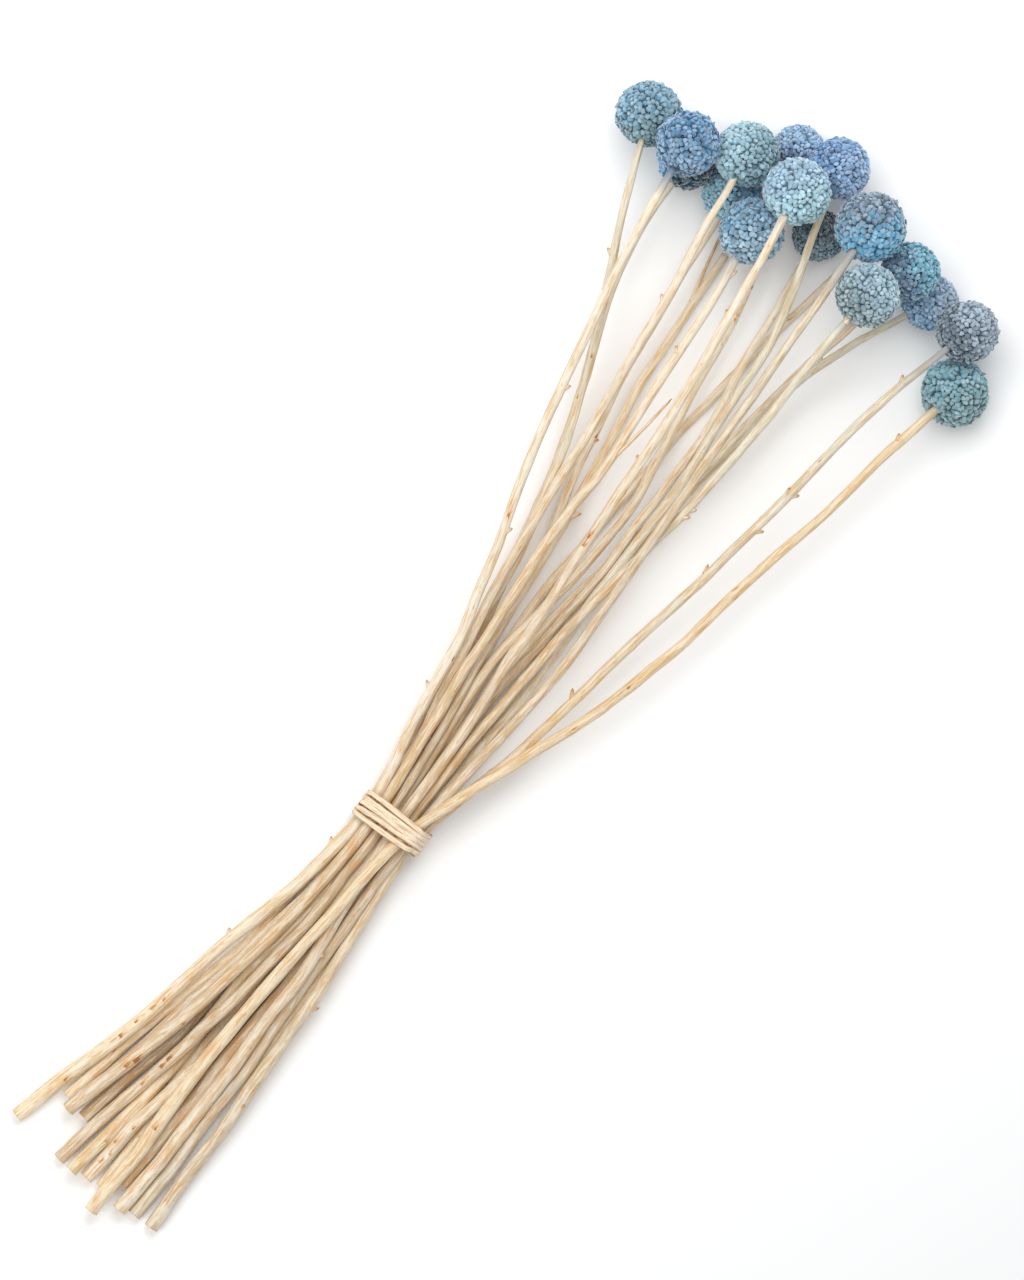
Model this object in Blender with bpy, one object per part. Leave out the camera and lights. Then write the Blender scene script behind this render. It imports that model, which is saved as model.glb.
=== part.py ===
"""A tied bunch of dried craspedia, lying on a flat surface.

The bunch lies along +Y: cut ends at -Y, round flower heads at +Y, the tie at
the middle. Z = 0 is the surface, and the origin is on the flat underside of
the tie, at the middle of its middle turn. Everything is in metres.
"""

from collections import namedtuple
from math import cos, pi, radians, sin, sqrt

import bmesh
import bpy
import numpy as np
from mathutils import Vector

MM = 0.001

# Driving sizes of a stem: its radius where it was cut, at the tie and below its head
RADIUS_CUT = 2.75 * MM
RADIUS_TIE = 2.05 * MM
RADIUS_NECK = 1.65 * MM
STEM_SIDES = 6
RING_STEP = 20 * MM

# Driving sizes of a head: its florets' count and height, and how deep its stem is seated
FLORETS = 92
FLORET_RISE = 1.7 * MM
SEAT = 0.9
SEAT_GAP = 0.45 * MM
NECK_LENGTH = 15 * MM
NECK_BEND = 0.6

# Driving sizes of the tie, and the half width that the stems have in it
TIE_TURNS = 5
TIE_PITCH = 2.25 * MM
TIE_WIDTH = 1.9 * MM
TIE_THICKNESS = 0.9 * MM
TIE_GAP = 0.3 * MM
TIE_SIDES = 24
TIE_END_SIDE = 4
TIE_HALF = 8 * MM
TIE_REACH = 11.6 * MM
SPLAY = 0.25
LAYER_RISE = 4.2 * MM

# Gaps between stems in the tie and, from LOOSE_FROM outwards, away from it,
# and between a head and the stems that pass it
FINE_STEP = 4 * MM
GAP = 0.35 * MM
LOOSE_GAP = 0.45 * MM
LOOSE_FROM = 60 * MM
PASS_GAP = 1 * MM

# How the stems are let down on each other: their heights at the start, the
# number of steps, and how far a step sinks, parts, straightens and pulls them
START_RISE = 4.8 * MM
HEAD_RISE = 3
SETTLE_STEPS = 900
REST_STEPS = 200
FALL = 0.006
SINK = 0.02 * MM
PART = 1.4
STIFF_UP = 0.25
STIFF_ACROSS = 0.3
ROUTE_PULL = 0.4
SLOT_PULL = 0.5
HEAD_PULL = 0.25

# Where each stem lies across the bunch, in mm, at these distances from the tie
STATIONS = (-160, -120, -80, -40, 0, 40, 80, 120, 160, 200, 240)

# One row a stem, in the order in which the stems were laid down. layer is the
# row it has in the tie, across its place at each station, cut the end that was
# cut and end the point its route runs to, in mm. A head's centre is at end,
# radius is its size, and nod its tilt in degrees. A stem with no head has
# radius 0. girth scales the stem's thickness.
Lay = namedtuple("Lay", "number layer across cut end radius nod girth head_colour")
BUNCH = (
    Lay(14, 0, (9, 9, 8.5, 6, 4.7, 7, 7.5, 9, 14, 18.5, 24.2),
        -112, (46.6, 295.9), 11.4, 15, 0.95, "plum"),
    Lay(13, 0, (-6, -6.5, -4, -2, 0, 0.5, 0, 3.5, 9.5, 15.3, 21.7),
        -186, (33, 300.5), 11.8, 15, 0.95, "teal"),
    Lay(3, 0, (-21.5, -16.5, -12, -6.5, -4.7, -10.5, -17, -25, -34.5, -49.5, -61.5),
        -168, (-64.7, 283.4), 12.3, 12, 1, "teal"),
    Lay(1, 1, (-36.5, -27.5, -17.5, -14, -12, -16, -20.5, -24.5, -34.5, -49, -68),
        -165, (-88.2, 288), 13.2, 25, 0.97, "slate"),
    Lay(17, 1, (-4, -3, -2, -1.5, -2.4, -3, -6, -7, -3.5, -1.5, 3.5),
        -130, (11, 285), 0, 0, 0.9, ""),
    Lay(5, 1, (-26.5, -19, -12, -6.5, -7, -8, -8.5, -14.5, -24, -32.5, -37.5),
        -153, (-42, 282.5), 12, 15, 1, "teal"),
    Lay(10, 1, (0, 0.5, 1.5, 2.5, 2.4, 2.5, 5, 9, 8.5, 7.6, 1.6),
        -125, (-4.9, 290.4), 10.5, 12, 0.95, "teal"),
    Lay(7, 2, (-9.5, -2.5, 2, 2.5, 0, -4, -6, -1.5, 0.5, -6, -11),
        -186.5, (-31.5, 312.5), 10.6, 12, 1, "iris"),
    Lay(8, 1, (14, 14.5, 12, 8, 7, 9, 11, 10, 11, 9, 6),
        -118, (-14.3, 316.2), 12.5, 6, 1, "iris"),
    Lay(12, 2, (2.5, 4, 4.5, 5, 4.7, 5.5, 7, 10.5, 17, 21.5, 22.8),
        -180, (25.2, 282.2), 12.8, 18, 1, "mist"),
    Lay(4, 2, (-15.5, -11.5, -10.5, -4.5, -4.7, -11, -19.5, -25.6, -30, -34, -38.9),
        -188, (-47.1, 298.5), 13.1, 22, 1, "mist"),
    Lay(15, 1, (19.6, 17.8, 16, 13.5, 12.2, 21.3, 29.4, 34.8, 42.2, 48.2, 53.3),
        -187, (65.6, 295.1), 12.5, 26, 1.02, "plum"),
    Lay(2, 2, (-42, -30, -22.5, -13.5, -9.4, -16.2, -22.8, -34.4, -45.9, -54.2, -62.4),
        -183.5, (-68.4, 287.6), 12.9, 22, 1.05, "blue"),
    Lay(11, 2, (12.2, 12, 9.8, 9, 9.4, 13.5, 17, 17.5, 15.5, 14, 12),
        -187, (9.7, 304.8), 14.2, 28, 1, "blue"),
    Lay(18, 3, (-19, -9.5, -4.5, -0.8, -2.4, -7, -12.5, -17, -21.5, -26.5, -29),
        -187, (-30, 262), 0, 0, 0.95, ""),
    Lay(6, 3, (-32, -21.5, -14, -8, -6.8, -10.8, -13.3, -16.7, -18, -20.4, -22.9),
        -169, (-27.2, 275.2), 13.1, 6, 1.03, "blue"),
    Lay(9, 3, (7.5, 8, 8, 5.5, 2.4, 1.3, -0.6, -3.1, -6.4, -8.8, -13.2),
        -189, (-22.1, 298.5), 13.5, 28, 1.05, "mist"),
    Lay(16, 3, (-2.5, -3, -1, 2.2, 7, 21.8, 37.2, 47.8, 55, 63, 70.2),
        -196, (76.4, 273), 13.6, 28, 1.05, "teal"),
)

# Colour, roughness and metallic of each finish
FINISHES = {
    "straw": ((0.76, 0.60, 0.42), 0.75, 0.0),
    "raffia": ((0.80, 0.62, 0.45), 0.7, 0.0),
    "teal": ((0.16, 0.36, 0.43), 0.9, 0.0),
    "slate": ((0.24, 0.38, 0.44), 0.9, 0.0),
    "blue": ((0.17, 0.36, 0.52), 0.9, 0.0),
    "mist": ((0.38, 0.54, 0.60), 0.9, 0.0),
    "iris": ((0.20, 0.28, 0.47), 0.9, 0.0),
    "plum": ((0.21, 0.26, 0.36), 0.9, 0.0),
}

FINE = np.arange(-200, 341, FINE_STEP / MM) * MM


def smooth_curve(knots, values, at):
    """A cubic through the knots, whose slope at each is the mean of its neighbours' chords."""
    chord = np.diff(values) / np.diff(knots)
    slope = np.concatenate([chord[:1], (chord[1:] + chord[:-1]) / 2, chord[-1:]])
    i = np.clip(np.searchsorted(knots, at) - 1, 0, len(knots) - 2)
    step = knots[i + 1] - knots[i]
    t = (at - knots[i]) / step
    inside = (
        values[i] * (1 + 2 * t) * (1 - t) ** 2
        + values[i + 1] * t * t * (3 - 2 * t)
        + slope[i] * step * t * (1 - t) ** 2
        - slope[i + 1] * step * t * t * (1 - t)
    )
    below = values[0] + slope[0] * (at - knots[0])
    return np.where(at < knots[0], below, inside)


def radius_at(lay, y):
    """A stem tapers from its cut end to the tie, and on to its head."""
    cut, end = lay.cut * MM, lay.end[1] * MM
    return lay.girth * np.interp(y, (cut, 0, end), (RADIUS_CUT, RADIUS_TIE, RADIUS_NECK))


class Stem:
    """One stem's rings along the bunch, and the head at its end."""

    def __init__(self, lay, order):
        self.lay = lay
        self.radius = lay.radius * MM
        self.nod = radians(lay.nod)
        knots = np.array(STATIONS + (lay.end[1],), float) * MM
        values = np.array(lay.across + (lay.end[0],), float) * MM
        end = np.array(lay.end) * MM
        run = np.array([end[0] - smooth_curve(knots, values, end[1] - RING_STEP), RING_STEP])
        self.heading = run / np.linalg.norm(run)
        self.reach = self.radius * SEAT + SEAT_GAP if self.radius else 0
        self.tip = end - self.heading * self.reach * cos(self.nod)
        ends = [self.tip[1]]
        if self.radius:
            ends.insert(0, self.tip[1] - NECK_LENGTH * self.heading[1])
        cut = lay.cut * MM
        # Rings on common stations, but none close to the cut end or the neck
        y = RING_STEP * np.arange(round(FINE[0] / RING_STEP), round(FINE[-1] / RING_STEP) + 1)
        y = y[(y > cut + RING_STEP / 3) & (y < ends[0] - RING_STEP / 3)]
        self.y = np.concatenate([[cut], y, ends])
        self.x = smooth_curve(knots, values, self.y)
        fan = 1 + (HEAD_RISE - 1) * np.clip(self.y / end[1], 0, 1)
        self.z = RADIUS_CUT + order * START_RISE * fan
        self.centre = np.array([*end, self.radius + order * START_RISE * HEAD_RISE])

    def axis(self):
        """The way the head faces, from its stem to its crown."""
        return np.array([*(self.heading * cos(self.nod)), -sin(self.nod)])

    def route(self):
        """Points along the axis, with the last bend down to the seat under the head."""
        points = np.stack([self.x, self.y, self.z], axis=1)
        if not self.radius:
            return points
        start, end = points[-2], self.centre - self.axis() * self.reach
        run = points[-2] - points[-3]
        length = np.linalg.norm(end - start)
        out, into = run / np.linalg.norm(run) * length, self.axis() * length
        t = np.array([1, 2, 3])[:, None] / 3
        bend = (
            start * (1 + 2 * t) * (1 - t) ** 2
            + end * t * t * (3 - 2 * t)
            + out * t * (1 - t) ** 2
            - into * t * t * (1 - t)
        )
        return np.concatenate([points[:-1], bend])


class Bunch:
    """All the stems together, let down on the surface until none runs into another."""

    def __init__(self):
        self.stems = [Stem(lay, order) for order, lay in enumerate(BUNCH)]
        self.headed = np.array([stem.radius > 0 for stem in self.stems])
        most = max(len(stem.y) for stem in self.stems)
        count = len(self.stems)
        self.x, self.z = np.zeros((count, most)), np.zeros((count, most))
        self.live = np.zeros((count, most), bool)
        self.share = np.zeros((count, len(FINE), most))
        self.r = np.stack([radius_at(stem.lay, FINE) for stem in self.stems])
        self.ring_r = np.zeros((count, most))
        for s, stem in enumerate(self.stems):
            n = len(stem.y)
            # Rings are kept at the end of each row, so that tips line up
            row = slice(most - n, most)
            self.x[s, row], self.z[s, row] = stem.x, stem.z
            self.live[s, row] = True
            self.ring_r[s, row] = radius_at(stem.lay, stem.y)
            inside = (FINE >= stem.y[0]) & (FINE <= stem.y[-1])
            for k in range(n):
                hat = np.interp(FINE, stem.y, np.eye(n)[k])
                self.share[s, :, most - n + k] = hat * inside
        self.y = np.zeros((count, most))
        for s, stem in enumerate(self.stems):
            self.y[s, most - len(stem.y) :] = stem.y
        self.seen = self.share.sum(axis=2) > 0
        self.home = self.x.copy()
        self.head = np.array([stem.centre for stem in self.stems])
        self.head_r = np.array([stem.radius for stem in self.stems])
        routes = [np.interp(FINE, stem.y, stem.x) for stem in self.stems]
        self.lean = np.where(self.seen, np.gradient(np.stack(routes), FINE, axis=1), 0)
        layer = np.array([stem.lay.layer for stem in self.stems])
        self.slot = TIE_THICKNESS + TIE_GAP + RADIUS_TIE + layer * LAYER_RISE
        self.gap = GAP + (LOOSE_GAP - GAP) * np.clip(abs(FINE) / LOOSE_FROM, 0, 1)
        self.first, self.second = np.triu_indices(count, 1)

    def spread(self, rings):
        """Values at the rings, read at the fine stations."""
        return np.einsum("smk,sk->sm", self.share, rings)

    def gather(self, push, hits):
        """Pushes at the fine stations, averaged back on to the rings."""
        total = np.einsum("smk,sm->sk", self.share, push)
        weight = np.einsum("smk,sm->sk", self.share, hits)
        return total / np.maximum(weight, 1e-9) * (weight > 1e-9)

    def part_stems(self, px, pz):
        """Pushes that part each pair of stems where they are closer than their radii."""
        i, j = self.first, self.second
        dx, dz = px[j] - px[i], pz[j] - pz[i]
        narrow = 1 / np.sqrt(1 + ((self.lean[i] + self.lean[j]) / 2) ** 2)
        near = np.sqrt((dx * narrow) ** 2 + dz**2) + 1e-9
        short = self.r[i] + self.r[j] + self.gap - near
        short = np.where(self.seen[i] & self.seen[j], np.maximum(short, 0), 0)
        push_x, push_z = short * dx * narrow / near / 2, short * dz / near / 2
        hit = (short > 0).astype(float)
        out = [np.zeros_like(px) for _ in range(3)]
        for pick, sign in ((i, -1), (j, 1)):
            np.add.at(out[0], pick, sign * push_x)
            np.add.at(out[1], pick, sign * push_z)
            np.add.at(out[2], pick, hit)
        return out

    def part_heads(self, px, pz, out):
        """Pushes between heads, and between each head and the stems of the others."""
        count = len(self.stems)
        move, hits = np.zeros((count, 3)), np.zeros(count)
        off = self.head[None] - self.head[:, None]
        near = np.linalg.norm(off, axis=2) + 1e-9
        short = np.maximum(self.head_r[:, None] + self.head_r[None] + GAP - near, 0)
        short *= self.headed[:, None] & self.headed[None] & ~np.eye(count, dtype=bool)
        move -= (off * (short / near / 2)[..., None]).sum(axis=1)
        hits += (short > 0).sum(axis=1)
        for h in np.flatnonzero(self.headed):
            dx, dz = px - self.head[h, 0], pz - self.head[h, 2]
            dy = (FINE - self.head[h, 1])[None]
            near = np.sqrt(dx**2 + dy**2 + dz**2) + 1e-9
            short = np.maximum(self.head_r[h] + self.r + PASS_GAP - near, 0) * self.seen
            short[h] = 0
            # A push along the bunch is turned across it, because rings keep their stations
            flat = np.sqrt(dx**2 + dz**2) + 1e-9
            push = np.minimum(short * near / flat, PASS_GAP) / 2
            hit = short > 0
            out[0] += push * dx / flat
            out[1] += push * dz / flat
            out[2] += hit
            if hit.any():
                move[h, 0] -= (push * dx / flat)[hit].sum()
                move[h, 2] -= (push * dz / flat)[hit].sum()
                hits[h] += hit.sum()
        return move / np.maximum(hits, 1)[:, None]

    def settle(self):
        """Let down, straighten, part and hold to the routes, again and again."""
        for step in range(SETTLE_STEPS):
            weight = 1.0 if step < SETTLE_STEPS - REST_STEPS else 0.0
            self.z -= weight * (FALL * self.z + SINK)
            self.head[:, 2] -= weight * (FALL * self.head[:, 2] + SINK)
            self.straighten()
            px, pz = self.spread(self.x), self.spread(self.z)
            out = self.part_stems(px, pz)
            move = self.part_heads(px, pz, out)
            self.x += PART * self.gather(out[0], out[2])
            self.z += PART * self.gather(out[1], out[2])
            self.head += PART * move
            self.hold(weight)
        for s, stem in enumerate(self.stems):
            n = len(stem.y)
            stem.x, stem.z = self.x[s, -n:], self.z[s, -n:]
            stem.centre = self.head[s]

    def straighten(self):
        """Each ring is drawn towards the line through its neighbours, as a stiff stem would."""
        inner = self.live[:, :-2] & self.live[:, 2:] & self.live[:, 1:-1]
        low, mid, high = self.y[:, :-2], self.y[:, 1:-1], self.y[:, 2:]
        t = np.where(inner, (mid - low) / np.where(inner, high - low, 1), 0.5)
        for values, shape, ease in (
            (self.z, self.z, STIFF_UP),
            (self.x, self.x - self.home, STIFF_ACROSS),
        ):
            bow = shape[:, :-2] * (1 - t) + shape[:, 2:] * t - shape[:, 1:-1]
            values[:, 1:-1] += ease * np.where(inner, bow, 0)

    def hold(self, weight):
        """Routes, tie and surface keep the rings where they belong."""
        off = abs(self.y)
        tied = SLOT_PULL * np.exp(-((off / RING_STEP) ** 2))
        self.x += (self.home - self.x) * (ROUTE_PULL * weight)
        self.x += (self.home - self.x) * (tied * weight)
        self.z += (self.slot[:, None] - self.z) * (tied * weight)
        # The stems lie on the tie's lower side, and run down to the surface beyond it
        lift = (TIE_THICKNESS + TIE_GAP) * np.clip(3 - off / RING_STEP, 0, 1)
        self.z = np.maximum(self.z, self.ring_r + lift)
        reach = np.where(off < 1.5 * RING_STEP, TIE_REACH + SPLAY * off, 1)
        self.x = np.clip(self.x, -reach, reach)
        for s in np.flatnonzero(self.headed):
            self.hold_head(s)

    def hold_head(self, s):
        """A head stays over its place, its stem's last two rings follow it, and lift it."""
        stem, head = self.stems[s], self.head[s]
        head[:2] = stem.centre[:2]
        drop = sin(stem.nod) * np.array([stem.reach + NECK_BEND * NECK_LENGTH, stem.reach])
        pull = HEAD_PULL * (self.z[s, -2:] - drop - head[2]).sum()
        head[2] = max(head[2] + max(pull, 0), stem.radius)
        self.z[s, -2:] = head[2] + drop
        tip = head[0] - stem.heading[0] * stem.reach * cos(stem.nod)
        self.x[s, -2:] = tip - stem.heading[0] * np.array([NECK_LENGTH, 0])


def new_object(name, finish, bm):
    """A named, smooth-shaded object with its own material."""
    mesh = bpy.data.meshes.new(name)
    bm.to_mesh(mesh)
    bm.free()
    mesh.shade_smooth()
    mesh.set_sharp_from_angle(angle=radians(50))
    colour, roughness, metallic = FINISHES[finish]
    material = bpy.data.materials.new(name)
    material.use_nodes = True
    shader = material.node_tree.nodes["Principled BSDF"]
    shader.inputs["Base Color"].default_value = (*colour, 1)
    shader.inputs["Roughness"].default_value = roughness
    shader.inputs["Metallic"].default_value = metallic
    mesh.materials.append(material)
    obj = bpy.data.objects.new(name, mesh)
    bpy.context.scene.collection.objects.link(obj)
    return obj


def bridge(bm, rings):
    """Faces between each ring of vertices and the next, and flat faces over both ends."""
    for low, high in zip(rings, rings[1:]):
        count = len(low)
        for i in range(count):
            j = (i + 1) % count
            bm.faces.new((low[i], low[j], high[j], high[i]))
    bm.faces.new(rings[0])
    bm.faces.new(rings[-1])
    bmesh.ops.recalc_face_normals(bm, faces=bm.faces)


def make_stem(stem):
    """A tapered tube of six sides along the stem's axis, cut square at its ends."""
    bm = bmesh.new()
    points = stem.route()
    along = np.gradient(points, axis=0)
    rings = []
    for point, way in zip(points, along):
        way = way / np.linalg.norm(way)
        side = np.cross(way, (0, 0, 1))
        side /= np.linalg.norm(side)
        up = np.cross(side, way)
        r = float(radius_at(stem.lay, point[1]))
        turns = (2 * pi * k / STEM_SIDES for k in range(STEM_SIDES))
        rings.append([bm.verts.new(point + r * (cos(a) * side + sin(a) * up)) for a in turns])
    bridge(bm, rings)
    return new_object("stem_%02d" % stem.lay.number, "straw", bm)


def make_head(stem):
    """A ball covered in florets: one low peak on each point of a spiral lattice."""
    turn = Vector(stem.axis()).to_track_quat("Z", "Y").to_matrix()
    radius, centre = stem.radius, Vector(stem.centre)
    bm = bmesh.new()
    golden = pi * (3 - sqrt(5))
    for k in range(FLORETS):
        height = -1 + 2 * k / (FLORETS - 1)
        around = golden * k + stem.lay.number
        flat = sqrt(1 - height * height)
        bm.verts.new((flat * cos(around), flat * sin(around), height))
    bmesh.ops.convex_hull(bm, input=bm.verts)
    bm.verts.index_update()
    bm.faces.index_update()
    peaks = [v.co.copy() for v in bm.verts]
    hollows = [f.calc_center_median().normalized() for f in bm.faces]
    pairs = [[[v.index for v in e.verts], [f.index for f in e.link_faces]] for e in bm.edges]
    bm.free()
    bm = bmesh.new()
    low = radius - FLORET_RISE
    tops = []
    for k, peak in enumerate(peaks):
        tops.append(bm.verts.new(centre + turn @ (peak * (radius if k else radius * SEAT))))
    dips = [bm.verts.new(centre + turn @ (hollow * low)) for hollow in hollows]
    for (a, b), (c, d) in pairs:
        bm.faces.new((tops[a], dips[c], dips[d]))
        bm.faces.new((tops[b], dips[d], dips[c]))
    bmesh.ops.recalc_face_normals(bm, faces=bm.faces)
    return new_object("head_%02d" % stem.lay.number, stem.lay.head_colour, bm)


def tie_outline(bunch, clear):
    """Corners of the band's outline round the stems, from the tangent at each of its sides."""
    turns = 2 * pi * np.arange(TIE_SIDES) / TIE_SIDES + 1.5 * pi
    way = np.stack([np.cos(turns), np.sin(turns)], axis=1)
    held = abs(FINE) <= TIE_HALF
    spots = np.stack([bunch.spread(bunch.x)[:, held], bunch.spread(bunch.z)[:, held]])
    reach = np.einsum("ta,asm->tsm", way, spots) + bunch.r[:, held]
    reach = reach.max(axis=(1, 2)) + clear
    # The first side faces down, and the band lies flat on the surface there
    reach[0] = clear - TIE_GAP - TIE_THICKNESS
    step = 2 * pi / TIE_SIDES
    across = np.stack([-np.sin(turns), np.cos(turns)], axis=1)
    ahead = (np.roll(reach, -1) - reach * cos(step)) / sin(step)
    return reach[:, None] * way + ahead[:, None] * across


def make_tie(bunch):
    """One flat strand wound round the stems towards their cut ends, with both its ends at one side."""
    inner = tie_outline(bunch, TIE_GAP)
    outer = tie_outline(bunch, TIE_GAP + TIE_THICKNESS)
    bm = bmesh.new()
    rings = []
    first = TIE_END_SIDE - 3 * TIE_SIDES
    for k in range(first, first + TIE_TURNS * TIE_SIDES + 1):
        y = -TIE_PITCH * (k + 0.5) / TIE_SIDES
        i = k % TIE_SIDES
        corners = []
        for (x, z), side in ((inner[i], -1), (inner[i], 1), (outer[i], 1), (outer[i], -1)):
            corners.append(bm.verts.new((x, y + side * TIE_WIDTH / 2, z)))
        rings.append(corners)
    bridge(bm, rings)
    return new_object("tie_band", "raffia", bm)


def main():
    for obj in list(bpy.data.objects):
        bpy.data.objects.remove(obj)
    bunch = Bunch()
    bunch.settle()
    for stem in bunch.stems:
        make_stem(stem)
        if stem.radius:
            make_head(stem)
    make_tie(bunch)
    return bunch


if __name__ == "__main__":
    main()
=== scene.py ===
"""Looks of a tied bunch of dried, blue-dyed craspedia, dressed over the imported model.

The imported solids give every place: a stem's axis is read from the rings of its
solid, a head's centre and radius from its florets, and the band follows the
stems that it holds. Everything is in metres, with Z up and the bunch along +Y.
"""

import logging
from dataclasses import dataclass, field
from enum import Enum
from math import atan, cos, pi, radians, sin, tan
from typing import Any, Sequence

import bpy
import numpy as np
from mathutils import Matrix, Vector


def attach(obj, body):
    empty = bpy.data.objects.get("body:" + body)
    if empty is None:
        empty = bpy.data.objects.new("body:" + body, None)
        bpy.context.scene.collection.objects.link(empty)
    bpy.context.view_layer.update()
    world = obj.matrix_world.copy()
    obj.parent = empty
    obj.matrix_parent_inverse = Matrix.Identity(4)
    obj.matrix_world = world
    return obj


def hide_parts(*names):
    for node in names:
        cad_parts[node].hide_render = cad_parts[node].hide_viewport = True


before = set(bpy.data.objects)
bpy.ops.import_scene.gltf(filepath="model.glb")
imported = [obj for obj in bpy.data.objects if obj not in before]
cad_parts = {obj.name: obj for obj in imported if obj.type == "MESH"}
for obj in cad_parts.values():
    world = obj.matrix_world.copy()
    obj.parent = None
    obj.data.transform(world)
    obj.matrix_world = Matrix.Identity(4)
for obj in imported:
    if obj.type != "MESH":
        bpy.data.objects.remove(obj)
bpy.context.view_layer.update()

LOG = logging.getLogger("craspedia")

MM = 0.001
RGB = tuple[float, float, float]
Span = tuple[float, float]
Array = np.ndarray
Rng = np.random.Generator
Socket = bpy.types.NodeSocket
Piece = bpy.types.Object
Material = bpy.types.Material

# The photograph: its size, its scale, and how the bunch is turned in it
PHOTO_WIDTH = 1024
PHOTO_HEIGHT = 1280
PHOTO_SCALE = 0.40 * MM
PHOTO_TURN = radians(37)
TIE_PIXEL = (391, 823)

# Degrees from one leaf scar to the next round a stem, and radians from one floret to the next
SCAR_TURN = 137.5
FLORET_TURN = pi * (3 - 5**0.5)

# Further apart than any two florets on a ball of radius 1, so that none pushes itself
TOO_FAR = 9.0


def linear(red: float, green: float, blue: float) -> RGB:
    """Linear light of a colour that is written in display values from 0 to 255.

    A share up to 0.04045 is divided by 12.92. A higher one gets 0.055 more, is
    divided by 1.055 and raised to 2.4.

    Args:
        red: Display value of red.
        green: Display value of green.
        blue: Display value of blue.

    Returns:
        The colour as linear values from 0 to 1.
    """
    parts = np.array([red, green, blue]) / 255
    low, high = parts / 12.92, ((parts + 0.055) / 1.055) ** 2.4
    return tuple(float(x) for x in np.where(parts <= 0.04045, low, high))


def picture_way(right: float, up: float) -> Array:
    """The direction in the surface's plane that runs this far right and up in the photograph.

    Args:
        right: Part of the way to the photograph's right.
        up: Part of the way to its top.

    Returns:
        A unit vector in X, Y and Z.
    """
    across = np.array([cos(PHOTO_TURN), sin(PHOTO_TURN), 0]) * right
    along = np.array([-sin(PHOTO_TURN), cos(PHOTO_TURN), 0]) * up
    return unit(across + along)


# Paths and rings


def unit(ways: Array) -> Array:
    """The vectors in the last axis, each brought to a length of one."""
    return ways / np.linalg.norm(ways, axis=-1, keepdims=True)


def vectors(x: Array, y: Array, z: Array) -> Array:
    """Vectors of three arrays that are first widened to one shape."""
    return np.stack(np.broadcast_arrays(x, y, z), axis=-1)


def round_angles(count: int) -> Array:
    """So many angles, evenly spaced round a circle from 0 on."""
    return 2 * pi * np.arange(count) / count


def spokes(first: Array, second: Array, turn: Array) -> Array:
    """The cosine of each angle times the first way plus its sine times the second.

    Args:
        first: A way for each ring.
        second: The way square to it for each ring.
        turn: Angles round a ring, from the first way towards the second.

    Returns:
        The ways out of each ring's middle, by ring and angle.
    """
    return first[:, None] * np.cos(turn)[None, :, None] + second[:, None] * np.sin(turn)[None, :, None]


def bell(off: Array, width: Any) -> Array:
    """A bell that is 1 in the middle: e to the minus square of the distance over the width."""
    return np.exp(-((off / width) ** 2))


def run_along(points: Array) -> Array:
    """Distance of each point from the first one, along the line through them all."""
    return np.concatenate([[0], np.cumsum(np.linalg.norm(np.diff(points, axis=0), axis=1))])


def walls(index: Array) -> Array:
    """The four corners of each face between a ring of points and the next.

    Args:
        index: Numbers of the points, by ring and by place in the ring in the last two axes.

    Returns:
        A row of four numbers for each face.
    """
    low, high = index[..., :-1, :], index[..., 1:, :]
    corners = [low, np.roll(low, -1, axis=-1), np.roll(high, -1, axis=-1), high]
    return np.stack(corners, axis=-1).reshape(-1, 4)


def smooth_path(knots: Array, values: Array, at: Array) -> Array:
    """A cubic through the knots whose slope at each is the chord between its neighbours.

    Args:
        knots: Rising parameters of the knots.
        values: A row of values for each knot.
        at: Parameters to read the path at.

    Returns:
        A row of values for each parameter.
    """
    slope = np.gradient(values, knots, axis=0)
    i = np.clip(np.searchsorted(knots, at) - 1, 0, len(knots) - 2)
    step = (knots[i + 1] - knots[i])[:, None]
    t = ((at - knots[i])[:, None]) / step
    return (
        values[i] * (1 + 2 * t) * (1 - t) ** 2
        + values[i + 1] * t * t * (3 - 2 * t)
        + slope[i] * step * t * (1 - t) ** 2
        - slope[i + 1] * step * t * t * (1 - t)
    )


def cross_frames(path: Array) -> tuple[Array, Array, Array]:
    """Directions along, beside and above a path that is never upright.

    Args:
        path: Points along the path.

    Returns:
        Unit vectors along the path, level to its right, and square to both.
    """
    along = unit(np.gradient(path, axis=0))
    beside = unit(np.cross(along, (0, 0, 1)))
    return along, beside, np.cross(beside, along)


def ripples(rng: Rng, along: Array, turn: Array, waves: int, length: float) -> Array:
    """A smooth uneven height over a tube: half the sum of waves that run round and along it.

    Args:
        rng: Source of the waves' strengths and places.
        along: Distance along the tube at each ring.
        turn: Angle round it at each point of a ring.
        waves: Most waves round the tube.
        length: Shortest wave along it. The longest is four times as long.

    Returns:
        Heights from about -1 to 1, by ring and point.
    """
    total = np.zeros((len(along), len(turn)))
    for _ in range(8):
        around = rng.integers(0, waves + 1)
        phase = 2 * pi * along / (length * rng.uniform(1, 4)) + rng.uniform(0, 2 * pi)
        total += rng.uniform(0.4, 1) * np.cos(around * turn[None] + phase[:, None])
    return total / 4


def wavers(rng: Rng, along: Array, length: float) -> Array:
    """The same uneven height along a line, whose shortest wave has this length."""
    return ripples(rng, along, np.zeros(1), 0, length)[:, 0]


# Shaders


@dataclass(frozen=True)
class Cover:
    """Where a layer shows: it starts at low, is full from high, and covers this share there."""

    low: float
    high: float
    share: float


@dataclass(frozen=True)
class Grain:
    """Noise that is drawn out along the fibres: how fine it is, and how strong its finer layers."""

    across: float
    along: float
    detail: float
    rough: float = 0.5


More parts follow.
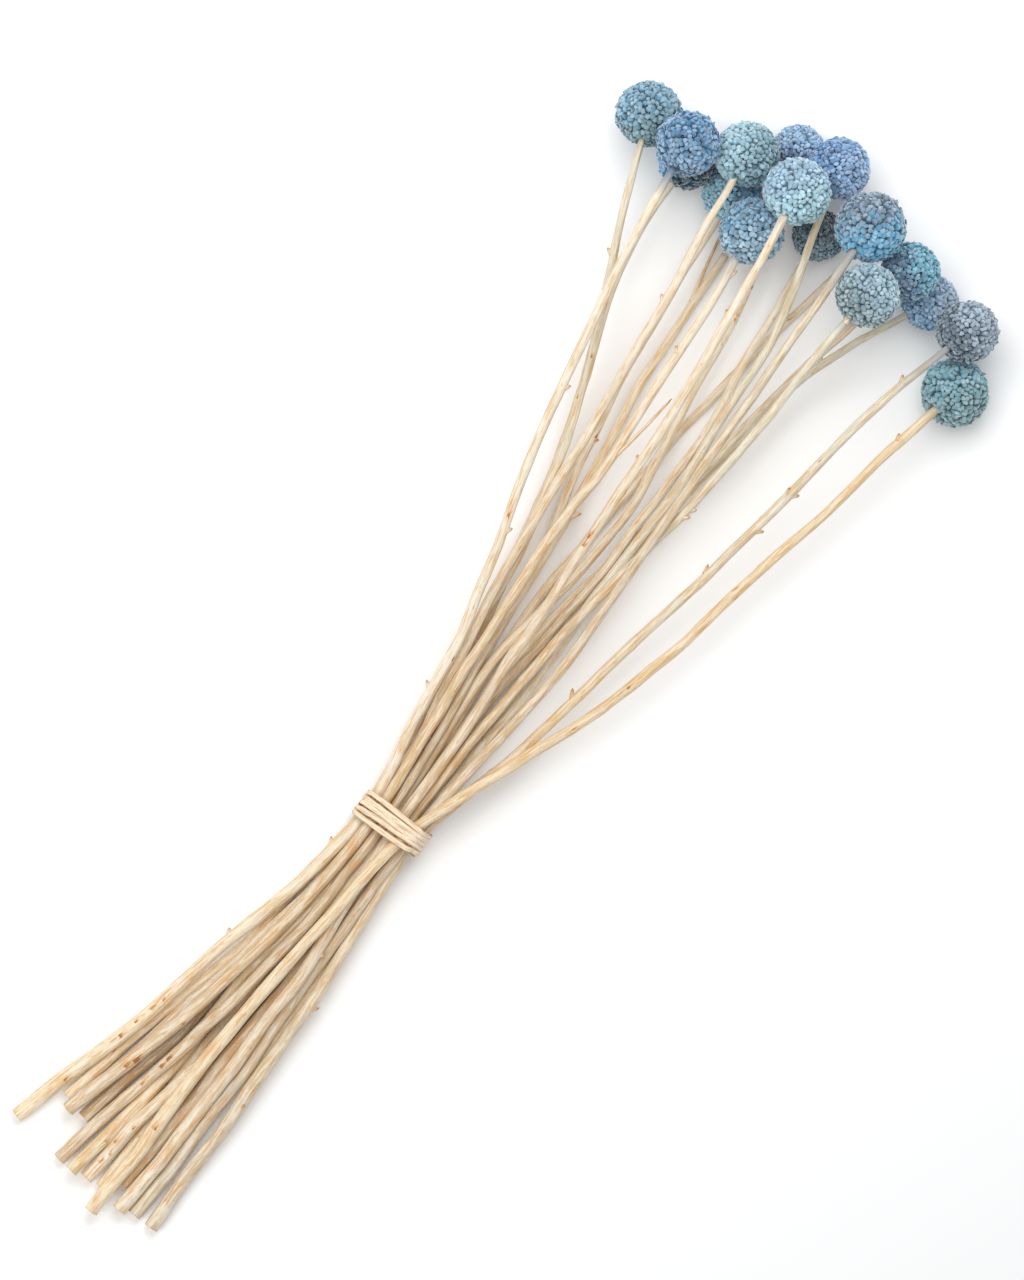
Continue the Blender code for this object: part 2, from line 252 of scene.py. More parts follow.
class Signal:
    """A value socket that adds Math nodes as it is used in a formula."""

    def __init__(self, bench: "Bench", socket: Socket) -> None:
        """Keeps the socket and the bench that its nodes go on."""
        self.bench = bench
        self.socket = socket

    def _math(self, operation: str, first: Any, second: Any) -> "Signal":
        """One Math node.

        Args:
            operation: The Math node's operation.
            first: Its first value, a Signal or a number.
            second: Its second value, a Signal or a number.

        Returns:
            The node's result.
        """
        made = self.bench.node("ShaderNodeMath", {"operation": operation}, {0: first, 1: second})
        return Signal(self.bench, made.outputs[0])

    def __add__(self, other: Any) -> "Signal":
        """Sum."""
        return self._math("ADD", self, other)

    def __radd__(self, other: Any) -> "Signal":
        """Sum, with the number first."""
        return self._math("ADD", other, self)

    def __sub__(self, other: Any) -> "Signal":
        """Difference."""
        return self._math("SUBTRACT", self, other)

    def __rsub__(self, other: Any) -> "Signal":
        """Difference, with the number first."""
        return self._math("SUBTRACT", other, self)

    def __mul__(self, other: Any) -> "Signal":
        """Product."""
        return self._math("MULTIPLY", self, other)

    def __rmul__(self, other: Any) -> "Signal":
        """Product, with the number first."""
        return self._math("MULTIPLY", other, self)

    def ease(self, low: float, high: float) -> "Signal":
        """A smooth step that is 0 up to low and 1 from high.

        Args:
            low: Where the step starts.
            high: Where it ends.

        Returns:
            The eased value.
        """
        sizes = {"Value": self, "From Min": low, "From Max": high}
        made = self.bench.node("ShaderNodeMapRange", {"interpolation_type": "SMOOTHSTEP"}, sizes)
        return Signal(self.bench, made.outputs["Result"])

    def cover(self, layer: Cover) -> "Signal":
        """How much of a layer shows where the layer follows this value."""
        return self.ease(layer.low, layer.high) * layer.share


class Bench:
    """A new material and the nodes on it."""

    def __init__(self, name: str) -> None:
        """Makes the material with its Principled shader alone.

        Args:
            name: The material's name.
        """
        self.material = bpy.data.materials.new(name)
        self.material.use_nodes = True
        self.tree = self.material.node_tree
        self.shader = self.tree.nodes["Principled BSDF"]

    def node(self, kind: str, settings: dict[str, Any], sockets: dict[Any, Any]) -> bpy.types.Node:
        """Adds a node, sets it, then fills its sockets.

        Args:
            kind: The node's type.
            settings: Its settings by name. stops is a ramp's list of place and colour.
            sockets: A value, a Signal or an output socket for each input socket.

        Returns:
            The node.
        """
        made = self.tree.nodes.new(kind)
        for name, value in settings.items():
            if name == "stops":
                self._set_stops(made.color_ramp, value)
            else:
                setattr(made, name, value)
        for key, value in sockets.items():
            self.join(value, made.inputs[key])
        return made

    @staticmethod
    def _set_stops(ramp: bpy.types.ColorRamp, stops: Sequence[tuple[float, RGB]]) -> None:
        """Gives a ramp its stops.

        Args:
            ramp: The ramp of a new node, with two stops.
            stops: Place and colour of each stop, from low to high.
        """
        while len(ramp.elements) < len(stops):
            ramp.elements.new(1.0)
        for element, (place, colour) in zip(ramp.elements, stops):
            element.position = place
            element.color = (*colour, 1.0)

    def join(self, value: Any, socket: Socket) -> None:
        """Sets a socket to a value, or links it.

        Args:
            value: A number, a colour or vector, a Signal or an output socket.
            socket: The input socket.
        """
        if isinstance(value, Signal):
            value = value.socket
        if isinstance(value, Socket):
            self.tree.links.new(value, socket)
        elif isinstance(value, tuple) and len(value) == 3 and socket.type == "RGBA":
            socket.default_value = (*value, 1.0)
        else:
            socket.default_value = value

    def attribute(self, name: str, part: str) -> Socket:
        """What the mesh holds at its points, as a Vector or as the number Fac."""
        return self.node("ShaderNodeAttribute", {"attribute_name": name}, {}).outputs[part]

    def field(self, name: str) -> Signal:
        """A number that the mesh holds at its points."""
        return Signal(self, self.attribute(name, "Fac"))

    def noise(self, at: Any, scale: float, detail: float, rough: float = 0.5) -> Signal:
        """Noise from 0 to 1 at a vector.

        Args:
            at: The vector's socket.
            scale: How fine the noise is.
            detail: Its number of finer layers.
            rough: How strong these are.

        Returns:
            The noise.
        """
        sizes = {"Vector": at, "Scale": scale, "Detail": detail, "Roughness": rough}
        return Signal(self, self.node("ShaderNodeTexNoise", {}, sizes).outputs["Fac"])

    def fibre_noise(self, grain: Grain) -> Signal:
        """Noise from 0 to 1 at the place in the fibres that the mesh holds as its grain.

        Args:
            grain: How the noise is drawn out.

        Returns:
            The noise.
        """
        both = {0: self.attribute("grain", "Vector"), 1: (grain.across, grain.across, grain.along)}
        drawn = self.node("ShaderNodeVectorMath", {"operation": "MULTIPLY"}, both)
        return self.noise(drawn.outputs[0], 1.0, grain.detail, grain.rough)

    def mix(self, share: Any, first: Any, second: Any, blend: str = "MIX") -> Socket:
        """A mix of two colours, whose sockets are numbers 0, 6 and 7 of the Mix node.

        Args:
            share: How much of the second, from 0 to 1.
            first: A colour or its socket.
            second: A colour or its socket.
            blend: The Mix node's blend type.

        Returns:
            The mixed colour's socket.
        """
        settings = {"data_type": "RGBA", "blend_type": blend}
        return self.node("ShaderNodeMix", settings, {0: share, 6: first, 7: second}).outputs[2]

    def bump(self, height: Signal, depth: float, strength: float) -> None:
        """Raises the surface by a height.

        Args:
            height: The height, from 0 to 1.
            depth: What 1 stands for, in metres.
            strength: How much of it shows.
        """
        sizes = {"Height": height, "Distance": depth, "Strength": strength}
        self.join(self.node("ShaderNodeBump", {}, sizes).outputs["Normal"], self.shader.inputs["Normal"])

    def finish(self, colour: Any, rough: Any, sockets: dict[str, float]) -> Material:
        """Sets what the shader shows.

        Args:
            colour: Base colour, as a colour or its socket.
            rough: Roughness, as a number or a Signal.
            sockets: Values of other sockets, the same all over.

        Returns:
            The material.
        """
        for name, value in {"Base Color": colour, "Roughness": rough, **sockets}.items():
            self.join(value, self.shader.inputs[name])
        return self.material


# Finishes


class Tone(Enum):
    """Colours of dried stem, as display values in soft daylight."""

    CREAM = linear(226, 214, 192)
    STRAW = linear(230, 211, 178)
    GOLD = linear(221, 198, 160)
    HONEY = linear(206, 179, 138)
    ROSE = linear(209, 188, 159)
    TAN = linear(191, 171, 140)
    ASH = linear(204, 191, 168)
    SAGE = linear(211, 204, 182)


@dataclass(frozen=True)
class StrawFinish:
    """Dried stem: its tone near the cut end, in the middle and near the head, and its marks."""

    low: Tone
    middle: Tone
    high: Tone
    tone_places: tuple[float, ...] = (0.06, 0.45, 0.82)
    tone_drift: float = 0.5
    pale: RGB = linear(250, 242, 226)
    pale_share: float = 0.5
    deep: RGB = (0.92, 0.75, 0.54)
    streak: RGB = linear(212, 158, 96)
    scar: RGB = linear(150, 92, 46)
    pith: RGB = linear(236, 220, 188)
    rim: RGB = linear(190, 146, 92)
    dye: RGB = linear(86, 114, 144)
    relief: float = 0.30 * MM
    rough: float = 0.5
    rough_fibres: float = 0.25
    shine: float = 0.35
    patches: Grain = Grain(0.5, 0.35, 1.0)
    fibres: Grain = Grain(2.8, 0.6, 3.0, 0.6)
    blotches: Grain = Grain(0.9, 0.5, 2.5, 0.55)
    lines: Grain = Grain(3.4, 0.45, 2.0)
    flecks: Grain = Grain(5.6, 1.7, 1.5)
    deep_blotches: Cover = Cover(0.47, 0.62, 0.75)
    pale_fibres: Cover = Cover(0.48, 0.58, 0.8)
    brown_lines: Cover = Cover(0.57, 0.63, 0.65)
    plain_top: Cover = Cover(0.78, 0.98, 0.8)
    dark_fibres: Cover = Cover(0.64, 0.72, 0.45)
    stain_edge: Cover = Cover(0.26, 0.42, 0.7)
    stain_heart: Cover = Cover(0.50, 0.74, 0.9)
    stain_breakup: float = 2.0
    cut_face: Span = (0.3, 0.9)

    def material(self, name: str) -> Material:
        """Runs the tones up the stem, then lays blotches, fibres, lines, stains and dye on them.

        Args:
            name: The material's name.

        Returns:
            The material.
        """
        bench = Bench(name)
        fibres, lines = bench.fibre_noise(self.fibres), bench.fibre_noise(self.lines)
        reach = bench.field("reach")
        drift = (bench.fibre_noise(self.patches) - 0.5) * self.tone_drift
        stops = list(zip(self.tone_places, (self.low.value, self.middle.value, self.high.value)))
        tone = bench.node("ShaderNodeValToRGB", {"stops": stops}, {0: reach + drift}).outputs["Color"]
        blotches = bench.fibre_noise(self.blotches).cover(self.deep_blotches)
        colour = bench.mix(blotches, tone, bench.mix(1.0, tone, self.deep, "MULTIPLY"))
        pale = bench.mix(self.pale_share, tone, self.pale)
        colour = bench.mix(fibres.cover(self.pale_fibres), colour, pale)
        lined = lines.cover(self.brown_lines) * (1 - reach.cover(self.plain_top))
        colour = bench.mix(lined, colour, self.streak)
        colour = bench.mix((1 - fibres).cover(self.dark_fibres), colour, self.scar)
        stain = bench.field("scar") + (bench.fibre_noise(self.flecks) - 0.5) * self.stain_breakup
        colour = bench.mix(stain.cover(self.stain_edge), colour, self.streak)
        colour = bench.mix(stain.cover(self.stain_heart), colour, self.scar)
        colour = bench.mix(bench.field("cut").ease(*self.cut_face), colour, self.pith)
        colour = bench.mix(bench.field("rim"), colour, self.rim)
        colour = bench.mix(bench.field("dye") * (0.75 + 0.5 * fibres), colour, self.dye)
        bench.bump(fibres * 0.4 + lines * 0.6, self.relief, 0.5)
        rough = self.rough + self.rough_fibres * fibres
        return bench.finish(colour, rough, {"Specular IOR Level": self.shine})


@dataclass(frozen=True)
class FloretFinish:
    """Dyed florets: two dyes that meet across the head, a painted highlight on the floret tops and painted
    shade in the gaps between them.
    """

    main: RGB
    second: RGB
    painted_highlight_share: float = 0.5
    # Colour of the painted highlight at the top of each floret.
    tip: RGB = (0.78, 0.87, 0.93)
    # Colour multiplied in as painted shade in the gaps between florets and on the core.
    painted_gap_shade: RGB = (0.24, 0.34, 0.40)
    patch_scale: float = 150.0
    patch_drift: float = 0.6
    tint_drift: float = 0.25
    dye_line: Span = (0.3, 0.7)
    shade_breakup_scale: float = 420.0
    shade_breakup_depth: float = 1.2
    painted_shade_rise: Span = (0.22, 0.88)
    painted_highlight_rise: Span = (0.80, 1.0)
    painted_highlight_paleness: float = 0.55
    fine_scale: float = 1900.0
    level: float = 0.82
    tint_level: float = 0.32
    fine_level: float = 0.35
    relief: float = 0.22 * MM
    rough: float = 0.88

    def material(self, name: str) -> Material:
        """Mixes the dyes by side, paints a highlight on the tops by rise, paints shade into the gaps and
        varies each floret.

        Args:
            name: The material's name.

        Returns:
            The material.
        """
        bench = Bench(name)
        rise, tint = bench.field("rise"), bench.field("tint")
        place = bench.attribute("place", "Vector")
        patch = bench.noise(place, self.patch_scale, 2.0)
        shade_breakup = bench.noise(place, self.shade_breakup_scale, 1.0)
        fine = bench.noise(place, self.fine_scale, 2.0)
        side = bench.field("side") + (patch - 0.5) * self.patch_drift + (tint - 0.5) * self.tint_drift
        dyed = bench.mix(side.ease(*self.dye_line), self.main, self.second)
        # Painted highlight: the top of each floret is paled towards the highlight colour, more on some
        # florets than on others.
        pale = bench.mix(self.painted_highlight_paleness, dyed, self.tip)
        light = rise.ease(*self.painted_highlight_rise) * (0.25 + tint * 0.75) * self.painted_highlight_share
        # Painted shade: the lower part of each floret, broken up by noise, takes the darkened colour.
        unshaded = (rise + (shade_breakup - 0.5) * self.shade_breakup_depth).ease(*self.painted_shade_rise)
        deep = bench.mix(1.0, dyed, self.painted_gap_shade, "MULTIPLY")
        colour = bench.mix(unshaded, deep, bench.mix(light, dyed, pale))
        level = self.level + tint * self.tint_level + (fine - 0.5) * self.fine_level
        grey = bench.node("ShaderNodeCombineColor", {}, {0: level, 1: level, 2: level})
        colour = bench.mix(1.0, colour, grey.outputs[0], "MULTIPLY")
        bench.bump(fine, self.relief, 0.6)
        sheen = {"Sheen Weight": 1.0, "Sheen Roughness": 0.5, "Specular IOR Level": 0.15}
        return bench.finish(colour, self.rough, sheen)


@dataclass(frozen=True)
class RaffiaFinish:
    """The band's strand: pinkish beige with long fibres, orange-brown folds, and painted shade along its
    edges where the turns meet.
    """

    pale: RGB = linear(246, 230, 206)
    # Colour of the fold lines, and of the painted shade at the strand's edges.
    body: RGB = linear(233, 209, 176)
    fold: RGB = linear(184, 132, 84)
    relief: float = 0.35 * MM
    rough: float = 0.5
    rough_fibres: float = 0.2
    shine: float = 0.35
    fibres: Grain = Grain(3.4, 0.3, 3.0, 0.6)
    lines: Grain = Grain(3.0, 0.7, 1.5)
    brown_lines: Cover = Cover(0.56, 0.62, 0.65)
    shaded_edges: Cover = Cover(0.55, 1.0, 0.75)
    body_fibres: Span = (0.38, 0.62)

    def material(self, name: str) -> Material:
        """Mixes pale and body along the strand's fibres, fold into its lines, and fold as painted shade into
        its edges.

        Args:
            name: The material's name.

        Returns:
            The material.
        """
        bench = Bench(name)
        fibres, lines = bench.fibre_noise(self.fibres), bench.fibre_noise(self.lines)
        colour = bench.mix(fibres.ease(*self.body_fibres), self.pale, self.body)
        colour = bench.mix(lines.cover(self.brown_lines), colour, self.fold)
        # Painted shade: the strand's edges are darkened where the turns meet.
        colour = bench.mix(bench.field("rim").cover(self.shaded_edges), colour, self.fold)
        bench.bump(fibres * 0.6 + lines * 0.4, self.relief, 0.6)
        rough = self.rough + self.rough_fibres * fibres
        return bench.finish(colour, rough, {"Specular IOR Level": self.shine})


# Meshes


@dataclass
class Shell:
    """Points, faces and fields of a mesh in the making."""

    points: Array
    quads: Array
    tris: Array
    fields: dict[str, Array]

    @staticmethod
    def joined(shells: Sequence["Shell"]) -> "Shell":
        """One shell of several, each kept apart in it.

        Args:
            shells: Shells that all hold the same fields.

        Returns:
            The joined shell.
        """
        starts = np.cumsum([0] + [len(s.points) for s in shells[:-1]])
        return Shell(
            np.concatenate([s.points for s in shells]),
            np.concatenate([s.quads + start for s, start in zip(shells, starts)]),
            np.concatenate([s.tris + start for s, start in zip(shells, starts)]),
            {k: np.concatenate([s.fields[k] for s in shells]) for k in shells[0].fields},
        )

    @staticmethod
    def tube(rings: Array, fields: dict[str, Array]) -> "Shell":
        """A closed tube through rings of points, with a fan to the middle of each end ring.

        Args:
            rings: Points as an array of rings, points round a ring, and X, Y and Z.
            fields: Values at the same points, without the last axis or with three parts.

        Returns:
            The tube, with its faces pointing outwards.
        """
        count, sides = rings.shape[:2]
        index = np.arange(count * sides).reshape(count, sides)
        ahead = np.roll(index, -1, axis=1)
        low, high = np.full(sides, count * sides), np.full(sides, count * sides + 1)
        fans = [
            np.stack([low, ahead[0], index[0]], axis=1),
            np.stack([high, index[-1], ahead[-1]], axis=1),
        ]
        filled = {}
        for name, values in fields.items():
            flat = values.reshape(count * sides, *values.shape[2:])
            filled[name] = np.concatenate([flat, values[[0, -1]].mean(axis=1)])
        points = np.concatenate([rings.reshape(-1, 3), rings[[0, -1]].mean(axis=1)])
        return Shell(points, walls(index), np.concatenate(fans), filled).outward()

    def outward(self) -> "Shell":
        """The closed shell with its faces turned, if need be, so that they point outwards.

        Six times the volume inside is the sum, over the triangles, of the triple
        product of their corners. It is above zero where the faces point outwards.

        Returns:
            The shell, or its mirror in facing.
        """
        faces = np.concatenate([self.quads[:, :3], self.quads[:, [0, 2, 3]], self.tris])
        a, b, c = (self.points[faces[:, k]] for k in range(3))
        if np.einsum("ij,ij->", a, np.cross(b, c)) > 0:
            return self
        return Shell(self.points, self.quads[:, ::-1], self.tris[:, ::-1], self.fields)

    def object(
        self, name: str, material: Material, slot: str, node: str, smooth: bool = True
    ) -> Piece:
        """Makes the piece that stands for a node, pressed flat where it meets the surface.

        Args:
            name: The piece's name.
            material: Its material.
            slot: The record's material slot. It is not used.
            node: The node that it replaces.
            smooth: Whether its faces are shaded as one smooth skin.

        Returns:
            The piece, riding on the model.
        """
        mesh = bpy.data.meshes.new(name)
        faces = np.concatenate([self.quads.ravel(), self.tris.ravel()])
        sizes = np.repeat([4, 3], [len(self.quads), len(self.tris)])
        mesh.vertices.add(len(self.points))
        points = np.maximum(self.points, (-np.inf, -np.inf, 0))
        mesh.vertices.foreach_set("co", points.astype(np.float32).ravel())
        mesh.loops.add(len(faces))
        mesh.loops.foreach_set("vertex_index", faces.astype(np.int32))
        mesh.polygons.add(len(sizes))
        mesh.polygons.foreach_set("loop_start", np.concatenate([[0], np.cumsum(sizes)[:-1]]))
        mesh.polygons.foreach_set("use_smooth", np.full(len(sizes), smooth))
        mesh.update(calc_edges=True)
        mesh.validate()
        for key, values in self.fields.items():
            kind, part = ("FLOAT_VECTOR", "vector") if values.ndim == 2 else ("FLOAT", "value")
            made = mesh.attributes.new(key, kind, "POINT")
            made.data.foreach_set(part, values.astype(np.float32).ravel())
        mesh.materials.append(material)
        piece = bpy.data.objects.new(name, mesh)
        bpy.context.scene.collection.objects.link(piece)
        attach(piece, "root")
        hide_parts(node)
        return piece


def node_points(node: str) -> Array:
    """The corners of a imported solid, each once.

    Args:
        node: The node's name.

    Returns:
        A row of X, Y and Z for each corner.
    """
    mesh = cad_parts[node].data
    places = np.empty(len(mesh.vertices) * 3, np.float32)
    mesh.vertices.foreach_get("co", places)
    return np.unique(places.reshape(-1, 3).astype(float).round(6), axis=0)


@dataclass(frozen=True)
class Axis:
    """A stem's axis: the middle and radius of each ring of its solid, from the cut end on."""

    points: Array
    radii: Array

    @staticmethod
    def of(node: str, ring_gap: float = 1.2 * MM) -> "Axis":
        """Reads the rings, which lie apart along Y, from a stem's solid.

        Args:
            node: The stem's node.
            ring_gap: Rings are further apart in Y than this, and their corners closer.

        Returns:
            The axis.
        """
        corners = node_points(node)
        corners = corners[corners[:, 1].argsort()]
        ring = np.concatenate([[0], np.cumsum(np.diff(corners[:, 1]) > ring_gap)])
        count = np.bincount(ring)
        middle = np.stack([np.bincount(ring, corners[:, k]) / count for k in range(3)], axis=1)
        reach = np.linalg.norm(corners - middle[ring], axis=1)
        return Axis(middle, np.bincount(ring, reach) / count)

    def where(self, y: float) -> tuple[float, float, float]:
        """X, Z and radius of the stem where it passes Y."""
        x, ys, z = self.points.T
        return tuple(float(np.interp(y, ys, values)) for values in (x, z, self.radii))


# Stems


@dataclass(frozen=True)
class Uneven:
    """An unevenness of the skin: its strength, most waves round it and shortest wave along it."""

    strength: float
    waves: int
    length: float


@dataclass(frozen=True)
class CutRing:
    """A ring of the cut face: its part of the radius, its depth, and how much pith and rim it shows."""

    share: float
    depth: float
    pith: float
    rim: float


@dataclass(frozen=True)
class Run:
    """A stem's smooth axis: each ring's distance from the cut end, middle and radius."""

    along: Array
    path: Array
    radii: Array


class Mark(Enum):
    """What a place on a stem's skin bears: its rise in millimetres and its stain's strength."""

    SCAR = (0.25, 0.8)
    KNOT = (0.55, 1.0)
    STAIN = (0.0, 1.0)
    RIDGE = (0.7, 0.15)


@dataclass(frozen=True)
class Spot:
    """A mark at a distance y from the tie, at an angle round the stem whose 90 is on top."""

    y: float
    turn: float
    mark: Mark
    size: float = 1.0


@dataclass(frozen=True)
class Shoot:
    """A thorn, stub or twig that grows from a stem, in millimetres and degrees.

    It starts inside the stem, sunk by a share of the stem's radius, and bends
    towards the head. One that is shorter than long_from needs few rings.
    """

    y: float
    turn: float
    length: float = 1.6
    radius: float = 1.0
    lean: float = 55.0
    sunk: float = 0.45
    bend: float = 0.25
    flare: float = 0.4
    flare_length: float = 0.6
    taper: float = 0.4
    blunt_power: int = 8
    knobs: float = 0.12
    knob_wave: float = 2.0
    foot_stain: float = 0.2
    tip_stain: float = 0.55
    sides: int = 8
    long_from: float = 5.0

    def rings(self) -> int:
        """How many rings the growth has."""
        return 6 if self.length < self.long_from else 24


@dataclass
class Stem:
    """One dried stem: a tapered, slightly uneven tube with its leaf scars and shoots.

    Lengths before and behind a mark run towards the cut end and towards the
    head. They and the widths, in radians round the stem, are those of its bells.
    """

    number: int
    low: Tone
    middle: Tone
    high: Tone
    neck: float = 0.9
    dye: float = 0.15
    dye_length: float = 10 * MM
    spots: tuple[Spot, ...] = ()
    shoots: tuple[Shoot, ...] = ()
    sides: int = 24
    ring_step: float = 1.25 * MM
    mark_reach: float = 0.9 * MM
    mark_rings: int = 9
    fullness: float = 1.03
    neck_length: float = 60 * MM
    head_depth: float = 0.8
    wander: float = 0.48 * MM
    knee_step: float = 24 * MM
    knee_jitter: float = 0.3
    knee_bend: float = 0.8
    sway: float = 0.6
    sway_wave: float = 26 * MM
    lift: float = 0.5
    lift_wave: float = 32 * MM
    quiet_tie: float = 40 * MM
    quiet_end: float = 25 * MM
    bare_foot: float = 12 * MM
    bare_top: float = 14 * MM
    scar_step: float = 19 * MM
    scar_steps: Span = (0.6, 1.5)
    scar_sizes: Span = (0.15, 0.75)
    scar_turns: Span = (-15, 15)
    rise_before: float = 2.6 * MM
    rise_behind: float = 0.9 * MM
    rise_width: float = 0.5
    stain_before: float = 0.6 * MM
    stain_behind: float = 1.2 * MM
    stain_width: float = 0.16
    knot_swell: float = 0.05
    knot_length: float = 4 * MM
    uneven: tuple[Uneven, ...] = (
        Uneven(0.09, 2, 26 * MM), Uneven(0.0315, 5, 9 * MM), Uneven(0.0315, 9, 60 * MM),
    )
    cut_face: tuple[CutRing, ...] = (
        CutRing(0.45, 0.30 * MM, 1.0, 0.0), CutRing(0.88, 0.08 * MM, 1.0, 0.1), CutRing(0.985, 0.0, 0.7, 0.3),
    )
    cut_bevel: float = 0.05 * MM
    bevel_rim: float = 0.2
    grain_step: float = 6 * MM
    grain_shift: float = 7.3
    shoot_shift: float = 3.1
    axis: Axis = field(init=False)

    def __post_init__(self) -> None:
        """Reads the stem's axis and starts its own source of chance."""
        self.node = f"stem_{self.number:02d}"
        self.axis = Axis.of(self.node)
        self.rng = np.random.default_rng(700 + self.number)

    def grown_spots(self, length: float, start: float) -> list[Spot]:
        """Leaf scars up the stem, each a golden angle round from the last.

        Args:
            length: The stem's length.
            start: The Y of its cut end.

        Returns:
            The scars with those that the stem was given.
        """
        spots = list(self.spots)
        y, turn = start + self.bare_foot, self.rng.uniform(0, 360)
        while y < start + length - self.bare_top:
            spots.append(Spot(y / MM, turn, Mark.SCAR, self.rng.uniform(*self.scar_sizes)))
            y += self.scar_step * self.rng.uniform(*self.scar_steps)
            turn += SCAR_TURN + self.rng.uniform(*self.scar_turns)
        return spots

    def route(self, head: "FlowerHead | None") -> Run:
        """The smooth axis, with knees and a slight wander that die out at the tie and the top end.

        The knees are straight runs of chance between two places, and the
        wander a sum of waves. Near the head the stem gets slimmer.

        Args:
            head: The head that the stem runs into, if it has one.

        Returns:
            The smooth axis.
        """
        points, radii = self.axis.points, self.axis.radii
        if head is not None:
            way = unit(head.centre - points[-1])
            points = np.concatenate([points, [head.centre - way * head.radius * self.head_depth]])
            radii = np.append(radii, radii[-1])
        knots = run_along(points)
        end = knots[-1]
        fine = self.ring_step * np.arange(1, int(end / self.ring_step))
        marks = [np.interp(s.y * MM, points[:, 1], knots) for s in (*self.spots, *self.shoots)]
        near = np.add.outer(marks, np.linspace(-self.mark_reach, self.mark_reach, self.mark_rings))
        along = np.unique(np.concatenate([[0, end], fine, near.ravel()]).round(6))
        along = along[(along >= 0) & (along <= end)]
        path = smooth_path(knots, points, along)
        beside = cross_frames(path)[1]
        free = np.clip(abs(path[:, 1]) / self.quiet_tie, 0, 1) * np.clip((end - along) / self.quiet_end, 0, 1)
        knees = np.arange(0, end + self.knee_step, self.knee_step)
        knees += self.rng.uniform(-self.knee_jitter, self.knee_jitter, len(knees)) * self.knee_step
        sway = np.interp(along, knees, self.rng.normal(0, self.knee_bend, len(knees)))
        sway += self.sway * wavers(self.rng, along, self.sway_wave)
        lift = self.lift * abs(wavers(self.rng, along, self.lift_wave))
        path = path + beside * (sway * free * self.wander)[:, None]
        path[:, 2] += lift * free * self.wander
        near_head = np.clip(1 - (end - along) / self.neck_length, 0, 1) ** 1.5
        slim = 1 - (1 - self.neck) * near_head if head is not None else 1
        return Run(along, path, np.interp(along, knots, radii) * self.fullness * slim)

    def marked(self, run: Run, radius: Array, turn: Array) -> Array:
        """Raises the marks on the skin, and gives their stain.

        A mark rises as a bell that is longer towards the cut end than towards
        the head, and swells the whole stem a little. Its stain is a thin bell
        that runs on towards the head. All are longer for a larger mark.

        Args:
            run: The stem's smooth axis.
            radius: Radius of the skin by ring and point, which this changes.
            turn: Angle of each point round a ring.

        Returns:
            The stain by ring and point.
        """
        stain = np.zeros_like(radius)
        for spot in self.grown_spots(run.along[-1], run.path[0, 1]):
            rise, strength = spot.mark.value
            off = (run.along - np.interp(spot.y * MM, run.path[:, 1], run.along))[:, None]
            angle = (turn - radians(spot.turn) + pi) % (2 * pi) - pi
            length = np.where(off < 0, self.rise_before, self.rise_behind) * (0.6 + 0.4 * spot.size)
            radius += rise * spot.size * MM * bell(off, length) * bell(angle, self.rise_width)
            length = np.where(off < 0, self.stain_before, self.stain_behind * (1 + 1.5 * spot.size))
            narrow = bell(angle, self.stain_width * (1 + spot.size))
            stain += strength * min(spot.size, 1) * bell(off, length) * narrow
            radius *= 1 + self.knot_swell * rise * spot.size * bell(off, self.knot_length)
        return np.clip(stain, 0, 1)

    def skin(self, run: Run) -> Shell:
        """The tube: its radius times uneven ripples, plus each mark's rise.

        The first rings are the cut face: they widen from the sunk pith to a rim
        that is a little bevelled.

        Args:
            run: The stem's smooth axis.

        Returns:
            The tube with its fields.
        """
        along, path, turn = run.along, run.path, round_angles(self.sides)
        _, beside, above = cross_frames(path)
        radius = run.radii[:, None]
        for kind in self.uneven:
            radius = radius * (1 + kind.strength * ripples(self.rng, along, turn, kind.waves, kind.length))
        stain = self.marked(run, radius, turn)
        grain = vectors(np.cos(turn), np.sin(turn), (along / self.grain_step)[:, None])
        grain += self.number * self.grain_shift
        rings = path[:, None] + spokes(beside, above, turn) * radius[..., None]
        closing = np.array([ring.share for ring in self.cut_face])[:, None, None]
        depths = np.array([ring.depth for ring in self.cut_face])[:, None, None]
        way = unit(path[1] - path[0])
        face = path[0] + (rings[0] - path[0]) * closing + way * depths
        rings[0] += way * self.cut_bevel
        first = len(face)
        cut, rim, dye, reach, scar = np.zeros((5, first + len(path), self.sides))
        cut[:first] = [[ring.pith] for ring in self.cut_face]
        rim[:first] = [[ring.rim] for ring in self.cut_face]
        rim[first] = self.bevel_rim
        dye[first:] = self.dye * np.clip(1 - (along[-1:] - along) / self.dye_length, 0, 1)[:, None] ** 0.7
        reach[first:] = (along / along[-1])[:, None]
        scar[first:] = stain
        fields = {"grain": np.concatenate([grain[:1] * closing, grain]), "scar": scar}
        return Shell.tube(
            np.concatenate([face, rings]), {**fields, "cut": cut, "rim": rim, "dye": dye, "reach": reach}
        )

